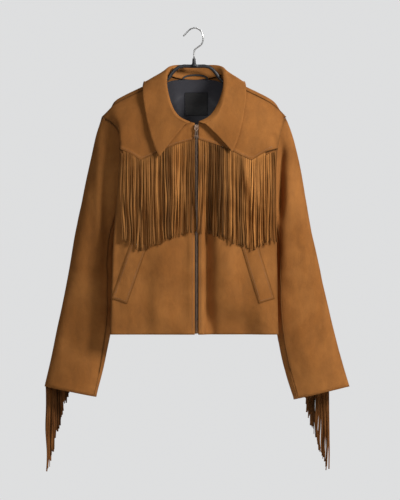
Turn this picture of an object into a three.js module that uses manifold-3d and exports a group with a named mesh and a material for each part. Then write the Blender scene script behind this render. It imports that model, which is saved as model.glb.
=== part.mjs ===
// A short zip-front suede jacket with a turned-down pointed collar, pointed front yokes and fringe,
// hanging on a slim hanger with a wire hook. Millimetres. +Z is up, the front faces -Y and +X is to
// the right of somebody who looks at the front. The origin is where the inside of the hook's crest
// bears on what holds it, so the jacket hangs below zero.
import * as THREE from 'three';
import { mergeVertices } from 'three/addons/utils/BufferGeometryUtils.js';
import Module from 'manifold-3d';

const wasm = await Module();
wasm.setup();

// ---------- driving sizes ----------
const CLOTH = 1.6; // wall of one layer of suede
const SEAM = 0.52; // the gap that each piece leaves on its side of a seam
const ZIP_X = 5.5; // the closing hangs a little to the right of the hook
const PLACKET = 3.8; // from the zip's middle to each front's folded edge
const HEM_Z = -683;
const NECK_OUT = 70; // neck end of the shoulder seam
const SEAM_DROP = 12; // the shoulder seam lies this far below the ridge, on the front
const CORNER_START_LEFT = 181; // where the front's folded side edge leaves the shoulder seam
const CORNER_START_RIGHT = 194;
const FRONT_EASE = 190; // the front is at its full depth this far below the ridge
const BACK_EASE = 150;
const RIDGE_ROUND = 14;
const SIDE_FALL = 0.17; // share of the depth lost between the middle and the side
const SIDE_HALF = 188;
const FRINGE_LENGTH = 203;
const FRINGE_LIFT = 3;
const FRINGE_DEPTH = 4;
const FRINGE_FLARE = 2; // how much further out the front fringe hangs at its foot
const FRINGE_SWING = 9; // the same for a sleeve's fringe
const SLEEVE_FRINGE_LENGTH = { left: 190, right: 178 };
const SLEEVE_FRINGE_RISE = 250; // the fringe climbs the hind-arm seam this far from the cuff
const ROW_DROP = 68; // between two rows of a sleeve's table, near the cuff

// The shoulder line, seen from the front: out from the middle, and its height.
const RIDGE = [
  { out: 0, top: -88 },
  { out: 70, top: -106 },
  { out: 115, top: -126.5 },
  { out: 174, top: -156 },
  { out: 193, top: -172 },
  { out: 209, top: -197 },
];

// How far the front and the back stand out from the hanger's plane.
const DEPTHS = [
  { z: -100, front: 54, back: 44 },
  { z: -300, front: 57, back: 50 },
  { z: -450, front: 60, back: 54 },
  { z: -600, front: 61, back: 55 },
  { z: -690, front: 62, back: 53 },
];

// The folded side edges of the fronts. The cloth turns back here into the armhole and side seam.
const LEFT_EDGE = [
  { z: -179, out: 181 },
  { z: -196, out: 174.5 },
  { z: -222, out: 169 },
  { z: -262, out: 168 },
  { z: -320, out: 171 },
  { z: -400, out: 176 },
  { z: -480, out: 183.5 },
  { z: -570, out: 187 },
  { z: -690, out: 190.5 },
];
const RIGHT_EDGE = [
  { z: -183, out: 196 },
  { z: -200, out: 205 },
  { z: -215, out: 204 },
  { z: -232, out: 199 },
  { z: -262, out: 192 },
  { z: -295, out: 188 },
  { z: -400, out: 187 },
  { z: -570, out: 189 },
  { z: -690, out: 191 },
];

// The back is narrower than the front, so the sleeves hang in beside it.
const BACK_EDGE = [
  { z: -170, out: 190 },
  { z: -205, out: 186 },
  { z: -260, out: 172 },
  { z: -330, out: 157 },
  { z: -412, out: 149 },
  { z: -500, out: 145 },
  { z: -600, out: 151 },
  { z: -690, out: 160 },
];

// The side seams below the underarm.
const SIDE_SEAM = [
  { z: -412, out: 160, y: 16 },
  { z: -450, out: 156, y: 10 },
  { z: -500, out: 154, y: 6 },
  { z: -550, out: 155, y: 3 },
  { z: -600, out: 159, y: 1 },
  { z: -645, out: 164, y: -1 },
  { z: -683, out: 168, y: -2 },
];

// Lower edge of the front yokes, out from the zip. It comes to a point at out = 123.
const YOKE_EDGE_INNER = [
  { out: 3.8, z: -250 },
  { out: 35, z: -258 },
  { out: 65, z: -268.5 },
  { out: 96, z: -283 },
  { out: 123, z: -296 },
];
const YOKE_EDGE_OUTER = [
  { out: 123, z: -296 },
  { out: 142, z: -283 },
  { out: 164, z: -272 },
  { out: 205, z: -266 },
];

// The neck edge of a front, from the shoulder seam down to the zip, out from the middle.
const NECK_FRONT = [
  { step: 0, out: 70, z: -118 },
  { step: 1, out: 67.5, z: -143 },
  { step: 2, out: 58, z: -171 },
  { step: 3, out: 38, z: -200 },
  { step: 4, out: 10, z: -213 },
];

// The back's neck edge: out from the middle, and how far over the ridge (minus is to the front).
const NECK_BACK = [
  { out: 0, over: 36 },
  { out: 20, over: 33 },
  { out: 38, over: 25 },
  { out: 54, over: 14 },
  { out: 65, over: 0 },
  { out: 70, over: -22 },
];

// Both armholes run through the same angles, from the shoulder tip down the front to the underarm
// and up the back.
const YOKE_ANGLES = [0, 12, 24, 36, 48, 59, 70];
const FRONT_ANGLES = [70, 90, 110, 130, 155, 180];
const BACK_ANGLES = [360, 345, 330, 315, 295, 270, 245, 220, 200, 180];

// Sleeves from the armhole to the cuff: the outer and inner folded edges, the middle's place in y at
// each, half the depth, and how far the armhole's hollow still bends the section (1 is none).
const LEFT_SLEEVE = [
  { outerX: 207, outerZ: -198, innerX: 160, innerZ: -412, outerY: -6, innerY: 16, half: 27, hollow: 12 },
  { outerX: 220, outerZ: -232, innerX: 167, innerZ: -417, outerY: 4, innerY: 19, half: 32, hollow: 5 },
  { outerX: 232, outerZ: -287, innerX: 171, innerZ: -428, outerY: 11, innerY: 22, half: 36, hollow: 2.4 },
  { outerX: 244, outerZ: -346, innerX: 173, innerZ: -445, outerY: 15, innerY: 24, half: 38, hollow: 1.4 },
  { outerX: 256, outerZ: -409, innerX: 175, innerZ: -468, outerY: 18, innerY: 25, half: 38, hollow: 1 },
  { outerX: 268, outerZ: -467, innerX: 176, innerZ: -500, outerY: 20, innerY: 25, half: 37, hollow: 1 },
  { outerX: 279, outerZ: -532, innerX: 177, innerZ: -554, outerY: 20, innerY: 24, half: 35, hollow: 1 },
  { outerX: 292, outerZ: -600, innerX: 178, innerZ: -622, outerY: 19, innerY: 22, half: 32, hollow: 1 },
  { outerX: 307, outerZ: -672, innerX: 186, innerZ: -694, outerY: 18, innerY: 20, half: 29, hollow: 1 },
  { outerX: 321, outerZ: -738, innerX: 201, innerZ: -762, outerY: 17, innerY: 18, half: 27, hollow: 1 },
  { outerX: 335, outerZ: -800, innerX: 219, innerZ: -824, outerY: 16, innerY: 16, half: 25, hollow: 1 },
];
const RIGHT_SLEEVE = [
  { outerX: 207, outerZ: -198, innerX: 160, innerZ: -412, outerY: -6, innerY: 16, half: 27, hollow: 12 },
  { outerX: 220, outerZ: -231, innerX: 172, innerZ: -419, outerY: 4, innerY: 19, half: 31, hollow: 4.5 },
  { outerX: 233, outerZ: -284, innerX: 171, innerZ: -428, outerY: 11, innerY: 22, half: 36, hollow: 2.4 },
  { outerX: 245, outerZ: -346, innerX: 173, innerZ: -445, outerY: 15, innerY: 24, half: 38, hollow: 1.4 },
  { outerX: 255, outerZ: -410, innerX: 175, innerZ: -468, outerY: 18, innerY: 25, half: 38, hollow: 1 },
  { outerX: 267, outerZ: -470, innerX: 176, innerZ: -500, outerY: 20, innerY: 25, half: 37, hollow: 1 },
  { outerX: 281, outerZ: -534, innerX: 176, innerZ: -558, outerY: 20, innerY: 24, half: 35, hollow: 1 },
  { outerX: 295, outerZ: -602, innerX: 177, innerZ: -628, outerY: 19, innerY: 22, half: 32, hollow: 1 },
  { outerX: 311, outerZ: -668, innerX: 184, innerZ: -696, outerY: 18, innerY: 20, half: 29, hollow: 1 },
  { outerX: 329, outerZ: -738, innerX: 201, innerZ: -766, outerY: 17, innerY: 18, half: 27, hollow: 1 },
  { outerX: 347, outerZ: -800, innerX: 222, innerZ: -830, outerY: 16, innerY: 16, half: 25, hollow: 1 },
];

// Collar, from the middle of the back round to the front end, out from the middle: the neck seam,
// the roll and the outer edge. The roll and the edge sit COLLAR_X to the right. The last row's edge is
// the collar's point.
const COLLAR_X = 4;
const COLLAR = [
  { neckX: 0, neckY: 21, neckZ: -114.5, rollX: 0, rollY: 31, rollZ: -82, edgeX: 0, edgeY: 46, edgeZ: -150 },
  { neckX: 33, neckY: 18, neckZ: -111, rollX: 34, rollY: 27, rollZ: -79.5, edgeX: 46, edgeY: 44, edgeZ: -151 },
  { neckX: 53, neckY: 9, neckZ: -105.5, rollX: 54, rollY: 14, rollZ: -83.5, edgeX: 88, edgeY: 37, edgeZ: -146 },
  { neckX: 63, neckY: -3, neckZ: -103, rollX: 62, rollY: -4, rollZ: -94, edgeX: 112, edgeY: 3, edgeZ: -119 },
  { neckX: 67, neckY: -17, neckZ: -115, rollX: 63, rollY: -17, rollZ: -112, edgeX: 115, edgeY: -31, edgeZ: -142 },
  { neckX: 66.5, neckY: -28, neckZ: -132, rollX: 63.5, rollY: -31, rollZ: -131, edgeX: 113, edgeY: -43, edgeZ: -168 },
  { neckX: 55.5, neckY: -43, neckZ: -168, rollX: 57, rollY: -48, rollZ: -166, edgeX: 105, edgeY: -54, edgeZ: -214 },
  { neckX: 38.5, neckY: -52, neckZ: -195, rollX: 44, rollY: -58, rollZ: -196, edgeX: 96, edgeY: -60, edgeZ: -247 },
  { neckX: 23, neckY: -56, neckZ: -206, rollX: 27, rollY: -62, rollZ: -208, edgeX: 88, edgeY: -62, edgeZ: -269 },
  { neckX: 10.5, neckY: -58, neckZ: -211, rollX: 13, rollY: -63, rollZ: -214, edgeX: 81, edgeY: -63, edgeZ: -283 },
];

// ---------- materials ----------
const paint = (color, roughness, metalness) => {
  return new THREE.MeshStandardMaterial({ color, roughness, metalness });
};
const SUEDE = () => paint(0x9a6433, 0.95, 0);
const FRINGE = () => paint(0x7d4c22, 0.95, 0);
const SATIN = () => paint(0x3b3c42, 0.45, 0);
const LABEL = () => paint(0x1b1b1d, 0.6, 0);
const TAPE = () => paint(0x6b4a38, 0.9, 0);
const ZIP_METAL = () => paint(0x8d7565, 0.35, 0.9);
const HANGER_BLACK = () => paint(0x1c1c1e, 0.45, 0);
const STEEL = () => paint(0xb9b9b8, 0.3, 1);

const jacket = new THREE.Group();

function addMesh(name, geometry, material) {
  const mesh = new THREE.Mesh(geometry, material);
  mesh.name = name;
  jacket.add(mesh);
  return mesh;
}

// Joins two closed solids that overlap into one.
function joined(first, second) {
  const solid = (geometry) => {
    geometry.deleteAttribute('normal');
    geometry.deleteAttribute('uv');
    const merged = mergeVertices(geometry);
    return new wasm.Manifold(new wasm.Mesh({
      numProp: 3,
      vertProperties: merged.getAttribute('position').array,
      triVerts: Uint32Array.from(merged.getIndex().array),
    }));
  };
  const mesh = solid(first).add(solid(second)).getMesh();
  const geometry = new THREE.BufferGeometry();
  geometry.setAttribute('position', new THREE.Float32BufferAttribute(mesh.vertProperties, 3));
  geometry.setIndex([...mesh.triVerts]);
  return geometry;
}

// ---------- tools for tables, points and cloth walls ----------
const point = (x, y, z) => new THREE.Vector3(x, y, z);
const mix = (a, b, t) => a + (b - a) * t;
const steps = (count) => Array.from({ length: count + 1 }, (_, i) => i / count);

// Reads one column of a table at any value of its key, on a smooth curve through the rows.
function read(rows, key, column, value) {
  const last = rows.length - 1;
  const rising = Math.sign(rows[last][key] - rows[0][key]);
  let i = 0;
  while (i < last - 1 && (value - rows[i + 1][key]) * rising > 0) i += 1;
  const slopeAt = (n) => {
    const before = rows[Math.max(0, n - 1)];
    const after = rows[Math.min(last, n + 1)];
    return (after[column] - before[column]) / (after[key] - before[key]);
  };
  const span = rows[i + 1][key] - rows[i][key];
  const t = THREE.MathUtils.clamp((value - rows[i][key]) / span, 0, 1);
  const ease = t * t * (3 - 2 * t);
  const leave = slopeAt(i) * span * t * (1 - t) * (1 - t);
  const arrive = slopeAt(i + 1) * span * t * t * (t - 1);
  return mix(rows[i][column], rows[i + 1][column], ease) + leave + arrive;
}

// Every piece of cloth is a grid of points on its outer face. `inside` is the side of the grid that
// the wall's thickness goes to, and `trim` names the edges that stop short of a seam.
const clothPieces = [];

function cloth(name, grid, material, inside, trim, thickness = CLOTH, gap = SEAM) {
  clothPieces.push({ name, grid, material, inside, trim, thickness, gap });
}

const spotKey = (p) => p.toArray().map((v) => Math.round(v * 50)).join(' ');

function gridNormal(grid, i, j, inside) {
  const down = grid[Math.min(grid.length - 1, i + 1)][j].clone().sub(grid[Math.max(0, i - 1)][j]);
  const row = grid[i];
  const across = row[Math.min(row.length - 1, j + 1)].clone().sub(row[Math.max(0, j - 1)]);
  return down.cross(across).normalize().multiplyScalar(inside);
}

// Pieces that share a seam turn their walls in the same direction there, as a mitre does. Normals
// that nearly agree count once.
const SAME_WAY = 0.9;

function sharedNormals() {
  const shared = new Map();
  for (const { grid, inside } of clothPieces) {
    grid.forEach((row, i) => row.forEach((p, j) => {
      const key = spotKey(p);
      const normal = gridNormal(grid, i, j, inside);
      if (!shared.has(key)) shared.set(key, []);
      const known = shared.get(key);
      if (!known.some((other) => other.dot(normal) > SAME_WAY)) known.push(normal);
    }));
  }
  return shared;
}

// A closed wall between a grid and a copy of it moved along the shared normals.
function wall({ name, grid, material, inside, trim, thickness, gap }, shared) {
  const rows = grid.length;
  const columns = grid[0].length;
  const pull = (at, towards) => at.add(towards.clone().sub(at).setLength(gap));
  const face = grid.map((row) => row.map((p) => p.clone()));
  if (trim.includes('top')) face[0].forEach((p, j) => pull(p, grid[1][j]));
  if (trim.includes('bottom')) face[rows - 1].forEach((p, j) => pull(p, grid[rows - 2][j]));
  if (trim.includes('start')) face.forEach((row, i) => pull(row[0], grid[i][1]));
  if (trim.includes('end')) face.forEach((row, i) => pull(row[columns - 1], grid[i][columns - 2]));
  const backing = face.map((row, i) => row.map((p, j) => {
    const normal = point(0, 0, 0);
    shared.get(spotKey(grid[i][j])).forEach((other) => normal.add(other));
    return p.clone().addScaledVector(normal.normalize(), thickness);
  }));
  const spots = [...face.flat(), ...backing.flat()];
  const id = (layer, i, j) => (layer * rows + i) * columns + j;
  const triangles = [];
  const quad = (a, b, c, d) => triangles.push(a, b, c, a, c, d);
  for (let i = 0; i < rows - 1; i += 1) {
    for (let j = 0; j < columns - 1; j += 1) {
      quad(id(0, i, j), id(0, i, j + 1), id(0, i + 1, j + 1), id(0, i + 1, j));
      quad(id(1, i, j), id(1, i + 1, j), id(1, i + 1, j + 1), id(1, i, j + 1));
    }
  }
  for (let j = 0; j < columns - 1; j += 1) {
    quad(id(0, 0, j), id(1, 0, j), id(1, 0, j + 1), id(0, 0, j + 1));
    quad(id(0, rows - 1, j + 1), id(1, rows - 1, j + 1), id(1, rows - 1, j), id(0, rows - 1, j));
  }
  for (let i = 0; i < rows - 1; i += 1) {
    quad(id(0, i + 1, 0), id(1, i + 1, 0), id(1, i, 0), id(0, i, 0));
    quad(id(0, i, columns - 1), id(1, i, columns - 1), id(1, i + 1, columns - 1), id(0, i + 1, columns - 1));
  }
  if (inside < 0) {
    for (let k = 0; k < triangles.length; k += 3) {
      [triangles[k + 1], triangles[k + 2]] = [triangles[k + 2], triangles[k + 1]];
    }
  }
  const geometry = new THREE.BufferGeometry();
  const places = spots.flatMap((p) => p.toArray());
  geometry.setAttribute('position', new THREE.Float32BufferAttribute(places, 3));
  geometry.setIndex(triangles);
  return addMesh(name, geometry, material);
}

// ---------- the body's form ----------
const ridge = (x) => read(RIDGE, 'out', 'top', Math.abs(x));

// How far the cloth stands out at a drop below the ridge: it rounds the shoulder, then hangs.
function standOut(drop, depth, ease) {
  const t = THREE.MathUtils.clamp(drop / ease, 0, 1);
  return depth * (1 - (1 - t) ** 3) ** 0.55;
}

function depthAt(x, z, column) {
  return read(DEPTHS, 'z', column, z) * (1 - SIDE_FALL * (x / SIDE_HALF) ** 2);
}

function onFront(x, z, lift = 0) {
  return point(x, -standOut(ridge(x) - z, depthAt(x, z, 'front'), FRONT_EASE) - lift, z);
}

// A place on the back, given by how far over the ridge it lies. Minus is on the front's side.
function onBack(x, over, lift = 0) {
  const drop = Math.hypot(over, RIDGE_ROUND) - RIDGE_ROUND;
  const z = ridge(x) - drop;
  if (over < 0) return onFront(x, z);
  return point(x, standOut(drop, depthAt(x, z, 'back'), BACK_EASE) + lift, z);
}

const overForDrop = (drop) => Math.sqrt((drop + RIDGE_ROUND) ** 2 - RIDGE_ROUND ** 2);

// A section of a sleeve at a place down its table (0 is the armhole) and an angle: 0 is the outer
// edge, 90 the front, 180 the inner edge and 270 the back.
function onSleeve(sign, table, place, angle, twist = 0) {
  const rows = table.map((row, step) => ({ ...row, step }));
  const value = (column) => read(rows, 'step', column, place);
  const share = place / (table.length - 1);
  const turn = THREE.MathUtils.degToRad(angle - twist * share ** 3);
  const along = (1 + Math.cos(turn)) / 2;
  const bulge = Math.sign(Math.sin(turn)) * Math.abs(Math.sin(turn)) ** 0.85;
  const x = mix(value('innerX'), value('outerX'), along ** value('hollow'));
  const y = mix(value('innerY'), value('outerY'), along) - bulge * value('half');
  const z = mix(value('innerZ'), value('outerZ'), along);
  return point(sign * x, y, z);
}

const SIDES = [
  { side: 'left', sign: -1, edge: LEFT_EDGE, sleeve: LEFT_SLEEVE, cornerStart: CORNER_START_LEFT },
  { side: 'right', sign: 1, edge: RIGHT_EDGE, sleeve: RIGHT_SLEEVE, cornerStart: CORNER_START_RIGHT },
];

const armhole = (sign, angle) => onSleeve(sign, LEFT_SLEEVE, 0, angle);
const sideSeam = (sign, row) => point(sign * row.out, row.y, row.z);

// ---------- fronts, yokes and back ----------
const PANEL_COLUMNS = 7; // between the closing or neck and the folded side edge
const CORNER_COLUMNS = 3; // round the folded edge
const CORNER_ROUND = 9;
const BACK_ROUND = 26;
const TURNBACK_COLUMNS = 2; // from the folded edge to the armhole or side seam
const POINT_COLUMN = 5; // this column of a front runs through the yoke's point

// Finishes a row of a panel: round the folded edge at `corner`, then straight to the seam.
function turnBack(row, corner, seam, round) {
  const before = row[row.length - 1];
  const toSeam = seam.clone().sub(corner);
  const reach = Math.min(round, toSeam.length() * 0.4);
  const out = corner.clone().addScaledVector(toSeam.normalize(), reach);
  const bend = new THREE.QuadraticBezierCurve3(before, corner, out);
  steps(CORNER_COLUMNS).slice(1).forEach((t) => row.push(bend.getPoint(t)));
  steps(TURNBACK_COLUMNS).slice(1).forEach((t) => row.push(out.clone().lerp(seam, t)));
  return row;
}

// Blends a panel between its four edges in x and z, and the form gives the depth. `upper` and `lower`
// give its top and bottom edge at a share of its width.
function frontGrid(columns, upper, lower, inner, outer, seams) {
  const last = inner.length - 1;
  const progress = (list, i) => (list[i].z - list[0].z) / (list[last].z - list[0].z);
  const bow = (edge, u, axis) => edge(u)[axis] - mix(edge(0)[axis], edge(1)[axis], u);
  return inner.map((start, i) => {
    const end = outer[i];
    const place = (u, axis) => {
      const down = mix(progress(inner, i), progress(outer, i), u);
      return mix(start[axis], end[axis], u) + mix(bow(upper, u, axis), bow(lower, u, axis), down);
    };
    const row = columns.map((u) => onFront(place(u, 'x'), place(u, 'z')));
    const corner = row[PANEL_COLUMNS].clone();
    const back = row[PANEL_COLUMNS - 1].clone().sub(corner).setLength(CORNER_ROUND);
    row[PANEL_COLUMNS].add(back);
    return turnBack(row, corner, seams[i], CORNER_ROUND);
  });
}

const closing = (sign) => ZIP_X + sign * PLACKET;
const edgeOut = (edge, z) => read(edge, 'z', 'out', z);

function yokeEdge(sign, x) {
  const out = Math.abs(x - ZIP_X);
  const table = out < YOKE_EDGE_OUTER[0].out ? YOKE_EDGE_INNER : YOKE_EDGE_OUTER;
  return read(table, 'out', 'z', out);
}

const YOKE_FOOT = YOKE_EDGE_INNER[0].z;
const POINT_OUT = YOKE_EDGE_OUTER[0].out;
const yokeEnd = (sign, edge) => edgeOut(edge, armhole(sign, YOKE_ANGLES[YOKE_ANGLES.length - 1]).z);

// The columns' shares of a front's width.
function frontColumns(sign, edge) {
  const whole = Math.abs(sign * yokeEnd(sign, edge) - closing(sign));
  const atPoint = (POINT_OUT - PLACKET) / whole;
  const toPoint = steps(POINT_COLUMN).map((t) => t * atPoint);
  const pastPoint = steps(PANEL_COLUMNS - POINT_COLUMN).slice(1).map((t) => mix(atPoint, 1, t));
  return [...toPoint, ...pastPoint];
}

const FRONT_ROWS = FRONT_ANGLES.length - 1 + SIDE_SEAM.length - 1;

for (const { side, sign, edge, cornerStart } of SIDES) {
  const seamTop = (u) => {
    const x = sign * mix(NECK_OUT, cornerStart, u);
    return { x, z: ridge(x) - SEAM_DROP };
  };
  const yokeFoot = (u) => {
    const x = mix(closing(sign), sign * yokeEnd(sign, edge), u);
    return { x, z: yokeEdge(sign, x) };
  };
  const hemLine = (u) => ({ x: mix(closing(sign), sign * edgeOut(edge, HEM_Z), u), z: HEM_Z });
  const neckPoint = (row) => ({ x: row.step === 4 ? closing(sign) : sign * row.out, z: row.z });

  const yokeSeams = YOKE_ANGLES.map((angle) => armhole(sign, angle));
  const yokeInner = [
    ...NECK_FRONT.map(neckPoint),
    { x: closing(sign), z: mix(NECK_FRONT[4].z, YOKE_FOOT, 0.5) },
    { x: closing(sign), z: YOKE_FOOT },
  ];
  const yokeTopZ = seamTop(1).z;
  const yokeFootZ = yokeFoot(1).z;
  const yokeOuter = yokeSeams.map((seam, i) => {
    const z = mix(yokeTopZ, yokeFootZ, i / (yokeSeams.length - 1));
    return i === 0 ? seamTop(1) : { x: sign * edgeOut(edge, z), z };
  });
  const columns = frontColumns(sign, edge);
  const yoke = frontGrid(columns, seamTop, yokeFoot, yokeInner, yokeOuter, yokeSeams);
  cloth(`yoke_${side}`, yoke, SUEDE(), -sign, 'top bottom end');

  const frontSeams = [
    ...FRONT_ANGLES.map((angle) => armhole(sign, angle)),
    ...SIDE_SEAM.slice(1).map((row) => sideSeam(sign, row)),
  ];
  const frontInner = steps(FRONT_ROWS).map((t) => ({ x: closing(sign), z: mix(YOKE_FOOT, HEM_Z, t) }));
  const frontOuter = frontSeams.map((seam, i) => {
    const z = i === 0 ? yokeFootZ : mix(seam.z, HEM_Z, 0.02);
    return { x: sign * edgeOut(edge, z), z: i === FRONT_ROWS ? HEM_Z : z };
  });
  const front = frontGrid(columns, yokeFoot, hemLine, frontInner, frontOuter, frontSeams);
  cloth(`front_${side}`, front, SUEDE(), -sign, 'top end');
}

// The back wraps over the ridge to the shoulder seams and runs round both sides to the side seams.
function backHalf(sign, edge, cornerStart) {
  const neckTop = NECK_BACK.slice(0, -1).map((row) => ({ x: row.out, over: row.over }));
  const seamTopRow = frontColumns(sign, edge).map((u) => {
    return { x: mix(NECK_OUT, cornerStart, u), over: -overForDrop(SEAM_DROP) };
  });
  const top = [...neckTop, ...seamTopRow];
  const seams = [
    ...BACK_ANGLES.map((angle) => armhole(sign, angle)),
    ...SIDE_SEAM.slice(1).map((row) => sideSeam(sign, row)),
  ];
  return seams.map((seam, i) => {
    const down = (seam.z - seams[0].z) / (HEM_Z - seams[0].z);
    const edgeX = mix(cornerStart, edgeOut(BACK_EDGE, seam.z), THREE.MathUtils.smoothstep(i, 0, 3));
    const spread = edgeX / cornerStart;
    const row = top.map((start) => {
      const x = sign * start.x * spread;
      const foot = ridge(x) - HEM_Z + RIDGE_ROUND;
      return onBack(x, mix(start.over, Math.sqrt(foot ** 2 - RIDGE_ROUND ** 2), down));
    });
    const corner = row[row.length - 1].clone();
    const round = mix(CORNER_ROUND, BACK_ROUND, THREE.MathUtils.smoothstep(i, 1, 6));
    const inward = row[row.length - 2].clone().sub(corner).setLength(round);
    if (round > 16) row[row.length - 2].addScaledVector(inward, 0.6);
    row[row.length - 1].add(inward);
    return turnBack(row, corner, seam, round);
  });
}

const halves = SIDES.map(({ sign, edge, cornerStart }) => backHalf(sign, edge, cornerStart));
const back = halves[0].map((row, i) => [...row.slice(1).reverse(), ...halves[1][i]]);
cloth('back', back, SUEDE(), 1, 'top start end');

// ---------- sleeves ----------
const SLEEVE_ANGLES = [...YOKE_ANGLES, ...FRONT_ANGLES.slice(1), ...BACK_ANGLES.slice(0, -1).reverse()];
const SLEEVE_SEAM = 0.7;
const FOREARM_ANGLE = 130;
const HIND_ANGLE = { left: 315, right: 270 };
const HAND_TWIST = { left: 24, right: 16 };

for (const { side, sign, sleeve } of SIDES) {
  const twist = -HAND_TWIST[side];
  const hind = HIND_ANGLE[side];
  const places = sleeve.map((row, step) => step);
  const under = SLEEVE_ANGLES.filter((angle) => angle >= FOREARM_ANGLE && angle <= hind);
  const topAngles = [
    ...SLEEVE_ANGLES.filter((angle) => angle >= hind && angle < 360),
    ...SLEEVE_ANGLES.filter((angle) => angle <= FOREARM_ANGLE),
  ];
  const ring = (angles, place) => angles.map((angle) => onSleeve(sign, sleeve, place, angle, twist));
  const gridOf = (angles) => places.map((place) => ring(angles, place));
  cloth(`sleeve_${side}_top`, gridOf(topAngles), SUEDE(), sign, 'top start end', CLOTH, SLEEVE_SEAM);
  cloth(`sleeve_${side}_under`, gridOf(under), SUEDE(), sign, 'top start end', CLOTH, SLEEVE_SEAM);
}

// ---------- collar, hang loop, lining and label ----------
const COLLAR_THICK = 2;
const COLLAR_STEPS = 2; // columns between two rows of the collar's table
const COLLAR_ROUND = 3.5;
const COLLAR_CROWN = 2.5; // how far the middle of the fall swells
const COLLAR_STATIONS = 9; // rows from the neck seam over the roll to the edge
const POINT_SHIFT = { left: { x: 3.5, z: -6 }, right: { x: -3.5, z: 6 } }; // the two sides hang unevenly

// One line of the collar's cloth: up the stand, over the roll and down the fall to its edge.
function collarLine(sign, side, place) {
  const rows = COLLAR.map((row, step) => ({ ...row, step }));
  const value = (column) => read(rows, 'step', column, place);
  const towardsPoint = THREE.MathUtils.smoothstep(place, 3, rows.length - 1);
  const shift = POINT_SHIFT[side];
  const neck = point(sign * value('neckX'), value('neckY'), value('neckZ'));
  const roll = point(COLLAR_X + sign * value('rollX'), value('rollY'), value('rollZ'));
  const edgeZ = value('edgeZ') + shift.z * towardsPoint;
  const edgeX = COLLAR_X + sign * (value('edgeX') + shift.x * (1 - towardsPoint));
  const edge = point(edgeX, value('edgeY'), edgeZ);
  const outward = edge.clone().sub(neck).setZ(0).normalize();
  const rise = roll.clone().sub(neck);
  const before = roll.clone().addScaledVector(rise, -0.25).addScaledVector(outward, -0.5);
  const after = roll.clone().addScaledVector(outward, COLLAR_ROUND * 2).addScaledVector(rise, -0.22);
  const crown = roll.clone().addScaledVector(outward, COLLAR_ROUND);
  const middle = after.clone().lerp(edge, 0.5).addScaledVector(outward, COLLAR_CROWN);
  const line = new THREE.CatmullRomCurve3([neck, before, crown, after, middle, edge], false, 'centripetal');
  return line.getPoints(COLLAR_STATIONS);
}

const collarHalf = ({ sign, side }) => {
  const count = (COLLAR.length - 1) * COLLAR_STEPS;
  return steps(count).map((t) => collarLine(sign, side, t * (COLLAR.length - 1)));
};
const collarColumns = [...collarHalf(SIDES[0]).slice(1).reverse(), ...collarHalf(SIDES[1])];
cloth('collar', collarColumns, SUEDE(), 1, '', COLLAR_THICK);

// The tape loop lies on the inside of the back of the stand, with both ends in the neck seam.
const LOOP_HALF = 29;
const LOOP_RISE = 12.5;
const LOOP_WIDE = 4.5;
const LOOP_LIFT = 4.9; // clears the stand's wall
const LOOP_FOOT = -113;
const LOOP_LEAN = 0.27; // follows the stand as it rises
const LOOP_THICK = 1;
const neckSeam = COLLAR.slice(0, 4).map((row) => ({ out: row.neckX, y: row.neckY }));
const loopCurve = (t) => {
  const turn = Math.PI * (1 - t);
  return new THREE.Vector2(LOOP_HALF * Math.cos(turn), LOOP_RISE * Math.sin(turn) ** 0.7);
};
const loopGrid = steps(14).map((t) => {
  const before = loopCurve(Math.max(0, t - 0.02));
  const out = loopCurve(Math.min(1, t + 0.02)).sub(before).rotateAround(new THREE.Vector2(), Math.PI / 2);
  return steps(2).map((u) => {
    const spot = loopCurve(t).addScaledVector(out.clone().normalize(), mix(0, -LOOP_WIDE, u));
    const behind = read(neckSeam, 'out', 'y', Math.abs(spot.x)) - LOOP_LIFT;
    return point(ZIP_X / 2 + spot.x, behind + spot.y * LOOP_LEAN, LOOP_FOOT + spot.y);
  });
});
cloth('hang_loop', loopGrid, TAPE(), 1, '', LOOP_THICK);

// The lining shows through the neck and runs down the inside of the back to above the hem.
const LINING_GAP = 3.2;
const LINING_DROP = 19;
const LINING_START = 2.5; // below the neck seam
const LINING_FOOT = 30;
const LINING_THICK = 1;
const LINING_HALF = 128;
const LINING_STAND = { lift: 5, fade: 45 }; // it leaves the suede near the neck, where it is sewn in
const liningLift = (drop) => {
  return -CLOTH - LINING_GAP - LINING_STAND.lift * Math.exp((LINING_DROP - drop) / LINING_STAND.fade);
};
const liningGrid = steps(11).map((v) => steps(12).map((u) => {
  const x = mix(-LINING_HALF, LINING_HALF, u);
  const neckOver = read(NECK_BACK, 'out', 'over', Math.min(70, Math.abs(x)));
  const start = Math.max(neckOver + LINING_START, overForDrop(LINING_DROP));
  const foot = overForDrop(ridge(x) - HEM_Z - LINING_FOOT);
  const over = mix(start, foot, v ** 1.5);
  return onBack(x, over, liningLift(Math.hypot(over, RIDGE_ROUND) - RIDGE_ROUND));
}));
cloth('lining', liningGrid, SATIN(), -1, '', LINING_THICK);

const LABEL_WIDE = 50;
const LABEL_TALL = 51;
const LABEL_TOP = -142;
const LABEL_LIFT = 2.4;
const LABEL_THICK = 0.8;
const labelGrid = steps(3).map((v) => steps(3).map((u) => {
  const x = ZIP_X + mix(-LABEL_WIDE, LABEL_WIDE, u) / 2;
  const z = LABEL_TOP - LABEL_TALL * v;
  const drop = ridge(x) - z;
  return onBack(x, overForDrop(drop), liningLift(drop) - LABEL_LIFT);
}));
cloth('label', labelGrid, LABEL(), -1, '', LABEL_THICK);

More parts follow.
